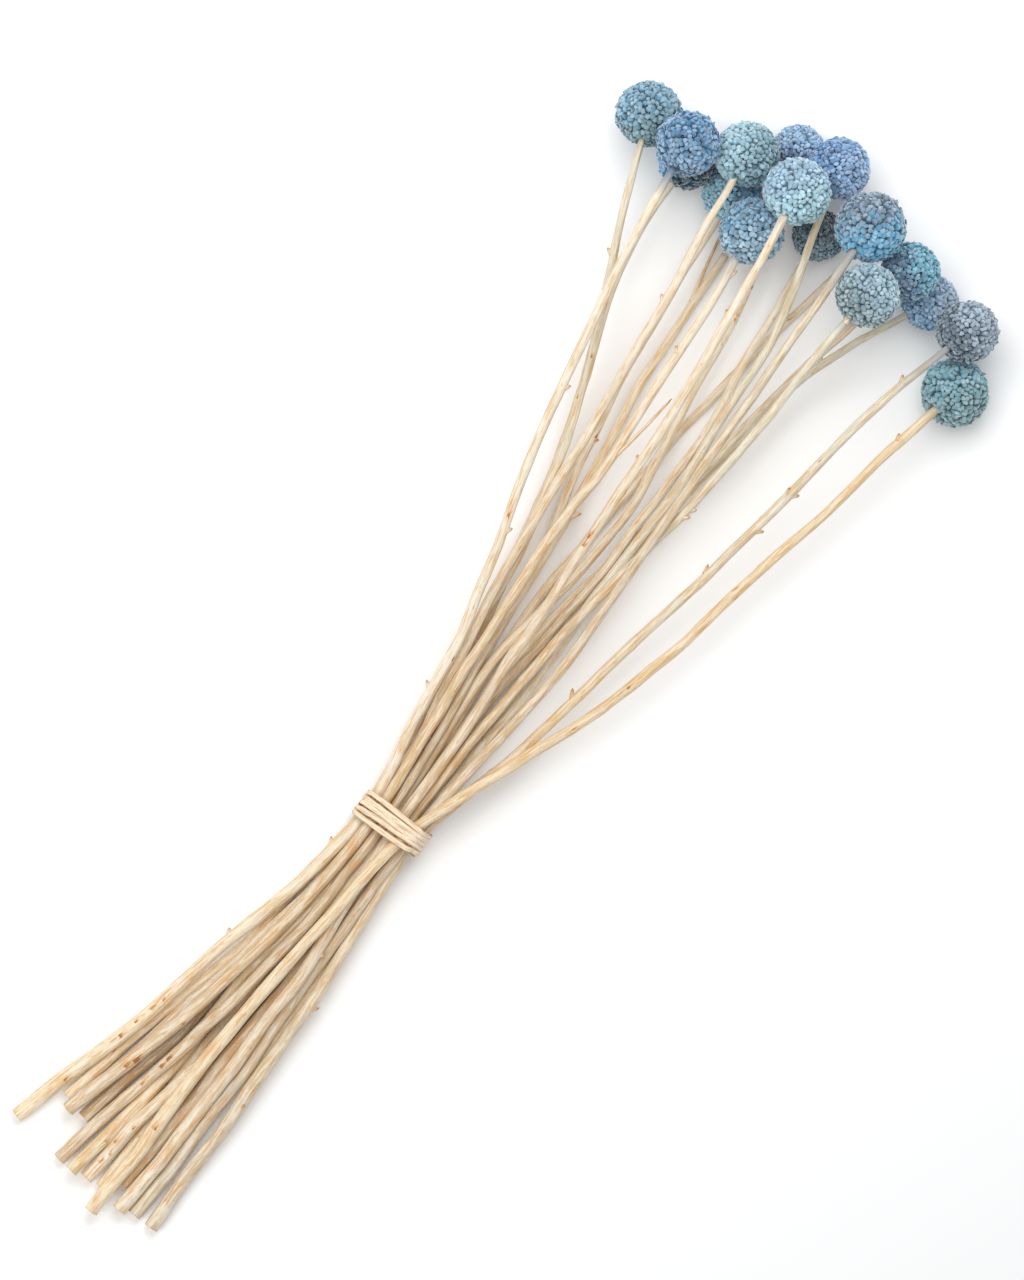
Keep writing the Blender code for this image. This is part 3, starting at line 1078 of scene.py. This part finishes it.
    def shoot(self, shoot: Shoot, run: Run) -> Shell:
        """A tapered side growth: a line that leaves the stem and bends towards its head.

        The line is the start, plus the way out times the part run, plus the
        stem's way times the bend and the square of that part. Its foot is
        wider, and its tip is blunt and darker.

        Args:
            shoot: Its place and sizes.
            run: The stem's smooth axis.

        Returns:
            The growth as a closed shell.
        """
        path = run.path
        k = int(round(float(np.interp(shoot.y * MM, path[:, 1], np.arange(len(path))))))
        way, beside, above = (v[k] for v in cross_frames(path))
        out = beside * cos(radians(shoot.turn)) + above * sin(radians(shoot.turn))
        t = np.linspace(0, 1, shoot.rings())
        lean, part = radians(shoot.lean), t[:, None]
        start = path[k] + out * run.radii[k] * (1 - shoot.sunk)
        length = shoot.length * MM + run.radii[k] * shoot.sunk
        line = start + length * (part * (way * cos(lean) + out * sin(lean)) + part**2 * way * shoot.bend)
        foot = 1 + shoot.flare * np.exp(-t * shoot.length / shoot.flare_length)
        blunt = np.sqrt(np.clip(1.1 - t**shoot.blunt_power, 0, 1))
        thin = shoot.radius * MM * foot * (1 - shoot.taper * t) * blunt
        turn = round_angles(shoot.sides)
        _, right, up = cross_frames(line)
        far = t * shoot.length * MM
        knobs = 1 + shoot.knobs * ripples(self.rng, far, turn, 3, shoot.knob_wave * MM)
        rings = line[:, None] + spokes(right, up, turn) * (thin[:, None] * knobs)[..., None]
        grain = vectors(np.cos(turn), np.sin(turn), (far / self.grain_step)[:, None])
        grain += self.number * self.shoot_shift
        none = np.zeros(rings.shape[:2])
        tip = none + shoot.foot_stain + shoot.tip_stain * part**3
        plain = {"cut": none, "rim": none, "dye": none, "reach": none + run.along[k] / run.along[-1]}
        return Shell.tube(rings, {"grain": grain, "scar": tip, **plain})

    def build(self, head: "FlowerHead | None") -> Piece:
        """Builds and dresses the stem.

        Args:
            head: The head that it runs into, if it has one.

        Returns:
            The piece.
        """
        run = self.route(head)
        shell = Shell.joined([self.skin(run), *(self.shoot(shoot, run) for shoot in self.shoots)])
        material = StrawFinish(self.low, self.middle, self.high).material(f"straw_{self.number:02d}")
        return shell.object(f"dried_{self.node}", material, "stem_straw", self.node)


# Heads


@dataclass
class FlowerHead:
    """One dense round head: a core with blunt florets packed side by side on it.

    Heights and reaches are shares of the head's radius. Each ring of a floret
    has a share of the floret's cell, and a lift from its root (0) to its top (1).
    """

    number: int
    slot: str
    finish: FloretFinish
    second_way: Array
    florets: int = 490
    shake: float = 0.5
    push: float = 0.32
    push_from: float = 1.05
    push_rounds: int = 12
    neighbours: int = 9
    sides: int = 7
    core: float = 0.88
    root_depth: float = 0.05
    ring_shares: tuple[float, ...] = (0.70, 0.98, 0.90, 0.54)
    ring_lifts: tuple[float, ...] = (0.0, 0.55, 0.89, 1.0)
    height_jitter: float = 0.015
    height_span: Span = (0.95, 1.025)
    short_share: float = 0.03
    short_height: float = 0.92
    swell: float = 0.006
    size: float = 0.94
    size_jitter: float = 0.07
    size_span: Span = (0.76, 1.04)
    pinch: float = 0.15
    ring_pinch: float = 0.06
    most_reach: float = 1.35
    roundness: float = 0.07
    lean_jitter: float = 0.021
    top_tilt: float = 0.30
    groups: int = 80
    gather: float = 0.18
    stem_gap: float = 0.35 * MM
    centre: Array = field(init=False)
    radius: float = field(init=False)

    def __post_init__(self) -> None:
        """Reads the head's centre and radius from its solid."""
        self.node = f"head_{self.number:02d}"
        corners = node_points(self.node)
        self.centre = corners.mean(axis=0)
        self.radius = float(np.linalg.norm(corners - self.centre, axis=1).max())
        self.rng = np.random.default_rng(40 + self.number)

    def spread_ways(self) -> Array:
        """Directions of the florets: a spiral lattice, shaken, then pushed evenly apart.

        Returns:
            A unit vector for each floret.
        """
        k = np.arange(self.florets)
        height = 1 - (2 * k + 1) / self.florets
        flat = np.sqrt(1 - height**2)
        ways = vectors(flat * np.cos(k * FLORET_TURN), flat * np.sin(k * FLORET_TURN), height)
        pitch = np.sqrt(4 * pi / self.florets)
        ways = unit(ways + self.rng.normal(0, self.shake * pitch, ways.shape))
        for _ in range(self.push_rounds):
            off = ways[:, None] - ways[None]
            near = np.linalg.norm(off, axis=2) + np.eye(len(ways)) * TOO_FAR
            push = np.clip(pitch * self.push_from - near, 0, None) / near
            ways = unit(ways + self.push * (off * push[..., None]).sum(axis=1))
        return ways

    def cell_reach(self, ways: Array, first: Array, second: Array, turn: Array) -> Array:
        """How far each floret reaches at each angle before it meets a neighbour.

        The reach is half the distance to the neighbour over the cosine of the
        angle between them, and the least of these over the nearest neighbours.
        The longest reaches are cut, and all are brought a little to their mean.

        Args:
            ways: Direction of each floret.
            first: A unit vector square to each direction.
            second: The vector square to both.
            turn: Angles round a floret.

        Returns:
            Reaches on the unit ball, by floret and angle.
        """
        near = np.argsort(((ways[:, None] - ways[None]) ** 2).sum(axis=2), axis=1)
        near = near[:, 1 : self.neighbours + 1]
        off = ways[near] - ways[:, None]
        x = (off * first[:, None]).sum(axis=2)
        y = (off * second[:, None]).sum(axis=2)
        distance, angle = np.hypot(x, y), np.arctan2(y, x)
        facing = np.cos(turn[None, None] - angle[..., None])
        reach = (distance[..., None] / 2 / np.clip(facing, 0.08, 1)).min(axis=1)
        reach = np.minimum(reach, self.most_reach * np.median(reach))
        return (1 - self.roundness) * reach + self.roundness * reach.mean(axis=1, keepdims=True)

    def heights(self, ways: Array) -> Array:
        """Heights of the florets: 1, plus chance, plus slow waves over the head. A few are short.

        Args:
            ways: Direction of each floret.

        Returns:
            The height of each floret's top.
        """
        waves = np.sin(ways @ self.rng.normal(0, 3, (3, 3)) + self.rng.uniform(0, 6, 3))
        top = 1.0 + self.rng.normal(0, self.height_jitter, len(ways)) + self.swell * waves.sum(axis=1)
        short = self.rng.random(len(ways)) < self.short_share
        return np.where(short, self.short_height, np.clip(top, *self.height_span))

    def packed_florets(self, ways: Array) -> Shell:
        """The florets, as short tubes with a fan over the top and an open root in the core.

        The rings of each follow its cell, times its size and a pinch by chance.
        It leans by chance and towards the middle of its group, by the square of
        the height, and its top slopes its own way, so that it catches the light.

        Args:
            ways: Direction of each floret.

        Returns:
            The florets round a head of radius 1.
        """
        count, levels, turn = len(ways), len(self.ring_lifts), round_angles(self.sides)
        shares, lifts = np.array(self.ring_shares), np.array(self.ring_lifts)
        first = unit(np.cross(ways, self.rng.normal(size=(count, 3))))
        second = np.cross(ways, first)
        reach = self.cell_reach(ways, first, second, turn)
        root, top = self.core - self.root_depth, self.heights(ways)
        size = np.clip(self.rng.normal(self.size, self.size_jitter, count), *self.size_span)
        lean = self.rng.normal(0, self.lean_jitter, (count, 2))
        middles = ways[self.rng.choice(count, self.groups, replace=False)]
        lean = lean[:, :1] * first + lean[:, 1:] * second
        lean += (middles[np.argmax(ways @ middles.T, axis=1)] - ways) * self.gather
        pinch = 1 + self.rng.normal(0, self.pinch, (count, 1, self.sides))
        pinch = pinch + self.rng.normal(0, self.ring_pinch, (count, levels, self.sides))
        wide = reach[:, None] * shares[None, :, None] * size[:, None, None] * pinch
        out = root + (top - root)[:, None] * lifts[None]
        middle = ways[:, None] * out[..., None] + lean[:, None] * (lifts**2)[None, :, None]
        rings = middle[:, :, None] + spokes(first, second, turn)[:, None] * wide[..., None]
        slope = self.rng.normal(0, self.top_tilt, (count, 2))
        slope = slope[:, :1] * np.cos(turn) + slope[:, 1:] * np.sin(turn)
        sloping = (lifts > 0.6)[None, :, None]
        rings += ways[:, None, None] * (slope[:, None] * wide * sloping)[..., None]
        peaks = ways * (top + self.rng.uniform(0.0, 0.02, count))[:, None] + lean
        tint = self.rng.uniform(0, 1, count)
        index = np.arange(count * levels * self.sides).reshape(count, levels, self.sides)
        last = index[:, -1]
        peak = index.size + np.broadcast_to(np.arange(count)[:, None], last.shape)
        fans = np.stack([peak, last, np.roll(last, -1, axis=1)], axis=-1)
        rise = np.broadcast_to(lifts[None, :, None], rings.shape[:3])
        fields = {
            "rise": np.concatenate([rise.ravel(), np.ones(count)]),
            "tint": np.concatenate([np.repeat(tint, levels * self.sides), tint]),
        }
        points = np.concatenate([rings.reshape(-1, 3), peaks])
        return Shell(points, walls(index), fans.reshape(-1, 3), fields)

    def ball(self, rows: int = 20, columns: int = 36) -> Shell:
        """The core: a ball as rows from pole to pole.

        A row's radius is the sine of its angle from the pole, and its height the cosine.

        Args:
            rows: Rings between the poles.
            columns: Points round a ring.

        Returns:
            The core as a closed shell.
        """
        down = (pi * (np.arange(rows) + 1) / (rows + 1))[:, None]
        turn, flat = round_angles(columns), np.sin(down)
        rings = vectors(flat * np.cos(turn), flat * np.sin(turn), -np.cos(down)) * self.core
        # With a rise of 0, the core is coloured with the painted gap shade.
        none = np.zeros((rows, columns))
        return Shell.tube(rings, {"rise": none, "tint": none})

    def build(self, stem_way: Array, stem_radius: float) -> Piece:
        """Builds and dresses the head, with no florets where its stem comes in.

        Args:
            stem_way: Direction from the head's centre to its stem's tip.
            stem_radius: The stem's radius there.

        Returns:
            The piece.
        """
        ways = self.spread_ways()
        clear = np.arcsin(min(1.0, (stem_radius + self.stem_gap) / (self.radius * self.core)))
        ways = ways[ways @ stem_way < cos(clear)]
        shell = Shell.joined([self.packed_florets(ways), self.ball()])
        shell.fields["side"] = shell.points @ self.second_way * 0.5 + 0.5
        shell.points = self.centre + shell.points * self.radius
        shell.fields["place"] = shell.points.copy()
        material = self.finish.material(f"florets_{self.number:02d}")
        return shell.object(f"florets_of_{self.node}", material, self.slot, self.node, smooth=False)


# Tie


@dataclass(frozen=True)
class Change:
    """An uneven change along the strand: how far it goes, and its shortest wave."""

    far: float
    wave: float

    def draw(self, rng: Rng, along: Array) -> Array:
        """The change at each point."""
        return self.far * wavers(rng, along, self.wave)


@dataclass
class Tie:
    """The band: one strand wound five times round the stems, its turns lying over each other.

    The waves of its waver and lift and the width of its drop are parts of a turn.
    The other waves are lengths along the strand, and their changes are shares of
    its width and thickness, or radians of tilt. Its ends lie at end_angle,
    in degrees round the bunch from +X over the top.
    """

    turns: int = 5
    pitch: float = 2.1 * MM
    top_y: float = 0.5 * MM
    end_angle: float = 330.0
    low_turn_drop: float = 1.2 * MM
    drop_width: float = 0.16
    squeeze: float = 6.0
    waver: Change = Change(0.7 * MM, 0.18)
    lift: Change = Change(0.5 * MM, 0.22)
    width: float = 2.3 * MM
    widening: Change = Change(0.12, 12 * MM)
    thickness: float = 0.95 * MM
    thickening: Change = Change(0.15, 9 * MM)
    tilt: Change = Change(0.16, 20 * MM)
    fold_depth: float = 0.12
    clearance: float = 0.05 * MM
    half: float = 8 * MM
    outline_steps: int = 180
    sides: int = 16
    grain_step: float = 4 * MM
    finish: RaffiaFinish = RaffiaFinish()

    def outline(self, axes: Sequence[Axis], clear: float, angles: Array) -> Array:
        """The taut loop round all the stems: where its tangent lines meet.

        The tangent line at an angle lies as far out as the furthest stem reaches
        that way, over the width of the band, smoothed over five angles. Each
        point is where it meets the next.

        Args:
            axes: Axes of all the stems.
            clear: How far the loop stays off the stems.
            angles: Angles of the tangent lines, evenly spaced.

        Returns:
            X and Z of the loop at each angle.
        """
        ys = np.linspace(-self.half, self.half, 9)
        discs = np.array([[axis.where(y) for y in ys] for axis in axes])
        way = np.stack([np.cos(angles), np.sin(angles)], axis=1)
        reach = np.einsum("ta,sya->tsy", way, discs[..., :2]) + discs[..., 2]
        reach = reach.max(axis=(1, 2)) + clear
        kernel = np.array([1, 2, 3, 2, 1]) / 9
        reach = sum(w * np.roll(reach, k - 2) for k, w in enumerate(kernel))
        step = 2 * pi / len(angles)
        across = np.stack([-np.sin(angles), np.cos(angles)], axis=1)
        ahead = (np.roll(reach, -1) - np.roll(reach, 1)) / (2 * sin(step))
        return reach[:, None] * way + ahead[:, None] * across

    def line(self, axes: Sequence[Axis], rng: Rng) -> tuple[Array, Array]:
        """The strand's middle and the way out of the loop at each of its points.

        The middle follows the loop while Y falls by the pitch each turn. Each turn
        wavers in Y and in and out with its own phase, so that it crosses its
        neighbours, the last one sags away from the rest over the top, and the
        turns crowd together towards +X.

        Args:
            axes: Axes of all the stems.
            rng: Source of the wavers.

        Returns:
            Points along the strand, and unit vectors out of the loop.
        """
        angles = radians(self.end_angle) + round_angles(self.outline_steps)
        loop = self.outline(axes, self.clearance + self.thickness / 2, angles)
        k = np.arange(self.turns * self.outline_steps + 1)
        spot, turn = loop[k % self.outline_steps], k / self.outline_steps
        over_top = (90 + 360 - self.end_angle) / 360
        y = self.top_y + self.pitch * ((self.turns - 1) / 2 + over_top - turn)
        y = y + self.waver.draw(rng, turn)
        y = y - self.low_turn_drop * bell(turn - self.turns + 1 - over_top, self.drop_width)
        y = y - (y - self.top_y) * spot[:, 0] * self.squeeze
        ahead = np.gradient(spot, axis=0)
        outward = unit(vectors(ahead[:, 1], 0, -ahead[:, 0]))
        lift = abs(self.lift.draw(rng, turn))
        return vectors(spot[:, 0], y, spot[:, 1]) + outward * lift[:, None], outward

    def build(self, axes: Sequence[Axis]) -> Piece:
        """Builds and dresses the band.

        Its section is a rounded oval whose width, thickness and tilt change along
        the strand, with shallow folds down its outer face.

        Args:
            axes: Axes of all the stems.

        Returns:
            The piece.
        """
        rng = np.random.default_rng(5)
        line, out = self.line(axes, rng)
        length = run_along(line)
        broad = np.cross(unit(np.gradient(line, axis=0)), out)
        angle = round_angles(self.sides)
        wide = self.width / 2 * (1 + self.widening.draw(rng, length))
        thick = self.thickness / 2 * (1 + self.thickening.draw(rng, length))
        flat_x = np.sign(np.cos(angle)) * abs(np.cos(angle)) ** 0.9
        flat_y = np.sign(np.sin(angle)) * abs(np.sin(angle)) ** 0.85
        fold = self.fold_depth * np.cos(angle * 5) * np.clip(np.sin(angle), 0, 1)
        tilt = self.tilt.draw(rng, length)[:, None]
        u, v = wide[:, None] * flat_x, thick[:, None] * (flat_y - fold)
        u, v = u * np.cos(tilt), v + u * np.sin(tilt)
        rings = line[:, None] + broad[:, None] * u[..., None] + out[:, None] * v[..., None]
        grain = vectors(np.cos(angle) * 1.3, np.sin(angle), (length / self.grain_step)[:, None])
        # rim is how near each point is to the strand's edges, where the finish paints shade.
        rim = np.broadcast_to(abs(np.cos(angle)), rings.shape[:2])
        shell = Shell.tube(rings, {"grain": grain, "rim": rim})
        return shell.object("wound_tie_band", self.finish.material("raffia"), "tie_raffia", "tie_band")


# Stage


@dataclass(frozen=True)
class Lamp:
    """A soft square lamp that hangs right and up of the photograph's middle, and faces it."""

    name: str
    right: float
    up: float
    height: float
    power: float
    size: float

    def hang(self, middle: Vector) -> None:
        """Hangs the lamp.

        Args:
            middle: The point of the surface that it faces.
        """
        lamp = bpy.data.lights.new(self.name, "AREA")
        lamp.energy = self.power
        lamp.size = self.size
        light = bpy.data.objects.new(self.name, lamp)
        reach = (self.right**2 + self.up**2) ** 0.5
        way = Vector(picture_way(self.right, self.up)) * reach + Vector((0, 0, self.height))
        light.location = middle + way
        light.rotation_euler = way.to_track_quat("Z", "Y").to_euler()
        bpy.context.scene.collection.objects.link(light)


@dataclass
class Stage:
    """The pale surface, the soft light over the heads and beside the cut ends, and the camera."""

    floor_size: float = 8.0
    floor_colour: RGB = (0.96, 0.96, 0.96)
    lens: float = 600.0
    sensor: float = 36.0
    far_end: float = 20.0
    lamps: tuple[Lamp, ...] = (
        Lamp("window_light", right=0.05, up=0.40, height=0.75, power=5.5, size=0.7),
        Lamp("side_light", right=-0.42, up=-0.33, height=0.28, power=0.8, size=0.4),
    )
    sky: float = 0.58
    sky_colour: RGB = (0.975, 0.99, 1.0)

    def middle(self) -> Vector:
        """The point of the surface that lies under the middle of the photograph.

        Returns:
            The point, turned from the photograph's right and up to X and Y.
        """
        right = (PHOTO_WIDTH / 2 - TIE_PIXEL[0]) * PHOTO_SCALE
        up = (TIE_PIXEL[1] - PHOTO_HEIGHT / 2) * PHOTO_SCALE
        x = right * cos(PHOTO_TURN) - up * sin(PHOTO_TURN)
        y = right * sin(PHOTO_TURN) + up * cos(PHOTO_TURN)
        return Vector((x, y, 0))

    def floor(self) -> None:
        """Lays a plain pale surface under the bunch."""
        half = self.floor_size / 2
        corners = [(-half, -half, 0), (half, -half, 0), (half, half, 0), (-half, half, 0)]
        mesh = bpy.data.meshes.new("pale_surface")
        mesh.from_pydata(corners, [], [(0, 1, 2, 3)])
        surface = bpy.data.objects.new("pale_surface", mesh)
        bpy.context.scene.collection.objects.link(surface)
        bench = Bench("pale_surface")
        mesh.materials.append(bench.finish(self.floor_colour, 0.85, {"Specular IOR Level": 0.1}))

    def lights(self) -> None:
        """Hangs the lamps, and lights the rest evenly."""
        for lamp in self.lamps:
            lamp.hang(self.middle())
        world = bpy.data.worlds.new("even_light")
        world.use_nodes = True
        background = world.node_tree.nodes["Background"]
        background.inputs["Color"].default_value = (*self.sky_colour, 1.0)
        background.inputs["Strength"].default_value = self.sky
        bpy.context.scene.world = world

    def camera(self) -> None:
        """Sets a long lens straight above, turned so that the bunch lies as photographed."""
        lens = bpy.data.cameras.new("overhead")
        lens.lens = self.lens
        lens.sensor_width = self.sensor
        lens.clip_end = self.far_end
        camera = bpy.data.objects.new("overhead", lens)
        half_view = atan(self.sensor / 2 / self.lens)
        distance = PHOTO_HEIGHT * PHOTO_SCALE / 2 / tan(half_view)
        camera.location = self.middle() + Vector((0, 0, distance))
        camera.rotation_euler = (0, 0, PHOTO_TURN)
        bpy.context.scene.collection.objects.link(camera)
        bpy.context.scene.camera = camera

    def build(self) -> None:
        """Sets up the whole stage."""
        bpy.context.scene.view_settings.view_transform = "Standard"
        self.camera()
        self.floor()
        self.lights()


# The bunch's own heads and stems


def heads() -> list[FlowerHead]:
    """The heads, each with its two dyes and the way from the first to the second.

    Returns:
        The heads in order of their numbers.
    """

    def head(number: int, slot: str, main: RGB, second: RGB, way: Span, highlight_share: float = 0.5) -> FlowerHead:
        """One head. Its dyes are display values, and the second lies that way in the photograph."""
        finish = FloretFinish(linear(*main), linear(*second), highlight_share)
        return FlowerHead(number, f"head_{slot}", finish, picture_way(*way))

    return [
        head(1, "slate", (85, 142, 168), (72, 122, 135), (0.4, -1)),
        head(2, "blue", (38, 115, 161), (76, 127, 164), (-1, -1)),
        head(3, "teal", (77, 162, 204), (35, 81, 100), (1, -1)),
        head(4, "mist", (140, 184, 198), (73, 129, 145), (1, -0.6), 0.6),
        head(5, "teal", (78, 142, 180), (120, 179, 199), (-1, 0)),
        head(6, "blue", (72, 131, 162), (129, 168, 191), (0.5, -1)),
        head(7, "iris", (38, 82, 135), (129, 168, 204), (0.5, 1)),
        head(8, "iris", (72, 130, 182), (117, 157, 197), (1, -0.3)),
        head(9, "mist", (136, 174, 197), (140, 186, 200), (0.2, -1), 0.6),
        head(10, "teal", (64, 108, 124), (46, 69, 78), (0.5, 1)),
        head(11, "blue", (69, 154, 190), (88, 118, 142), (-0.1, 1)),
        head(12, "mist", (136, 170, 184), (102, 132, 138), (-1, -0.6), 0.6),
        head(13, "teal", (26, 92, 130), (88, 161, 184), (1, 0.4)),
        head(14, "plum", (101, 154, 193), (139, 167, 192), (1, 0.3)),
        head(15, "plum", (54, 84, 102), (134, 153, 170), (1, 0.4)),
        head(16, "teal", (108, 164, 179), (96, 142, 148), (0.3, -1)),
    ]


def stems() -> list[Stem]:
    """The stems, each with its tones, its marks and its shoots.

    Returns:
        The stems in order of their numbers.
    """
    cream, straw, gold, honey = Tone.CREAM, Tone.STRAW, Tone.GOLD, Tone.HONEY
    rose, tan_tone, ash, sage = Tone.ROSE, Tone.TAN, Tone.ASH, Tone.SAGE
    scar, knot, stain, ridge = Mark.SCAR, Mark.KNOT, Mark.STAIN, Mark.RIDGE
    left, top, right = 180.0, 90.0, 0.0
    return [
        Stem(1, straw, straw, sage, 0.8, 0.2, 12 * MM, spots=(
            Spot(197, 80, scar, 0.9), Spot(181, 115, scar, 0.8), Spot(-140, 120, stain, 0.9),
        ), shoots=(Shoot(235, left), Shoot(-21, left))),
        Stem(2, straw, cream, cream, 0.76, 1.0, 13 * MM, spots=(
            Spot(-160, 70, knot, 0.8), Spot(-133, 95, stain, 0.9), Spot(-125, 110, stain, 0.9),
            Spot(-117, 100, stain, 1.0), Spot(-111, 95, stain, 0.8), Spot(88.5, 80, scar, 0.6),
            Spot(94.5, 57, scar, 0.6), Spot(126.5, top, scar, 1.0),
        ), shoots=(Shoot(-75, left), Shoot(52.5, left, 2.0), Shoot(120.5, 10), Shoot(180, 10))),
        # Stem 3 lies beneath the others: its darker tan and honey tones are partly painted shade.
        Stem(3, tan_tone, honey, cream),
        Stem(4, gold, tan_tone, cream, 0.86, 0.1, spots=(Spot(-170, 60, knot, 0.8),),
             shoots=(Shoot(232, left, 1.5),)),
        Stem(5, ash, straw, cream, spots=(Spot(171, 45, knot, 1.3), Spot(95, top, knot, 0.7)),
             shoots=(Shoot(171, 40, 1.8, 1.0, 80),)),
        Stem(6, rose, honey, cream, 0.95, 0.38, 16 * MM, spots=(
            Spot(-160, 150, ridge, 0.9), Spot(-137, 54, stain, 1.6), Spot(-141, 75, stain, 1.4),
            Spot(170, 60, ridge, 1.0),
        ), shoots=(Shoot(170, 20, 26, 0.85, 15), Shoot(219, 145), Shoot(255, right, 2.5, 0.8, 30))),
        Stem(7, cream, straw, cream, 0.9, 0.1, spots=(
            Spot(-178, 95, stain, 0.8), Spot(-173, 80, stain, 0.7), Spot(-168, 110, stain, 0.8),
            Spot(107, top, knot, 0.7), Spot(243, top, knot, 0.8), Spot(257, 57, knot, 1.2),
        )),
        Stem(8, straw, sage, sage, 0.86),
        Stem(9, cream, rose, cream, 0.95, 0.22, 14 * MM, spots=(
            Spot(135, 103, stain, 1.2), Spot(139, 110, stain, 1.2), Spot(161, 20, scar, 1.0),
            Spot(243, 15, knot, 0.9),
        ), shoots=(Shoot(-60, right), Shoot(175, left, 1.2), Shoot(243, 15), Shoot(243, 165, 1.0))),
        # Stem 10 lies beneath the others: its tan middle is partly painted shade.
        Stem(10, ash, tan_tone, cream),
        Stem(11, ash, rose, ash, 0.92, 0.55, 26 * MM),
        Stem(12, rose, honey, sage, 0.86, 0.42, 14 * MM, shoots=(
            Shoot(168, 20), Shoot(172, right, 1.2), Shoot(268, 80, 1.2),
        )),
        Stem(13, straw, straw, ash, 0.95, 0.15),
        Stem(14, ash, sage, sage, 0.86, 0.2, spots=(Spot(240, top, knot, 0.6),),
             shoots=(Shoot(250, left, 1.2),)),
        Stem(15, ash, gold, sage, 0.78, 0.6, 30 * MM, shoots=(
            Shoot(-127, 60, 1.2), Shoot(-79, right, 2.0), Shoot(83, 160, 3.0), Shoot(155, 170, 2.5, 0.9, 35),
            Shoot(181, right, 1.8), Shoot(201, 140, 1.2), Shoot(201, right), Shoot(263, 170, 1.8),
        )),
        Stem(16, straw, gold, gold, 1.02, 0.28, 9 * MM, spots=(
            Spot(-154, 95, knot, 1.2), Spot(86, top, ridge, 0.8), Spot(100, 93, scar, 1.0),
            Spot(156, 128, scar, 1.1), Spot(172, top, scar, 0.9),
        ), shoots=(Shoot(244, 160, 1.4),)),
        Stem(17, straw, straw, cream),
        Stem(18, rose, tan_tone, straw, 0.9, 0.1, spots=(
            Spot(-143, 95, stain, 1.0), Spot(-133, 100, stain, 1.1), Spot(-129, 107, stain, 1.1),
        ), shoots=(Shoot(141, right, 3.0, 1.1), Shoot(238.8, left, 26, 0.8, 12))),
    ]


def tell(piece: Piece) -> None:
    """Reports a finished piece."""
    LOG.info("%s: %d faces", piece.name, len(piece.data.polygons))


def main() -> None:
    """Builds the stage, the heads, the stems and the tie."""
    logging.basicConfig(level=logging.INFO, format="%(name)s: %(message)s")
    Stage().build()
    bunch = stems()
    by_number = {head.number: head for head in heads()}
    for stem in bunch:
        head = by_number.get(stem.number)
        tell(stem.build(head))
        if head is not None:
            way = unit(stem.axis.points[-1] - head.centre)
            tell(head.build(way, float(stem.axis.radii[-1])))
    tell(Tie().build([stem.axis for stem in bunch]))
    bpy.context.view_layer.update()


if __name__ == "__main__":
    main()
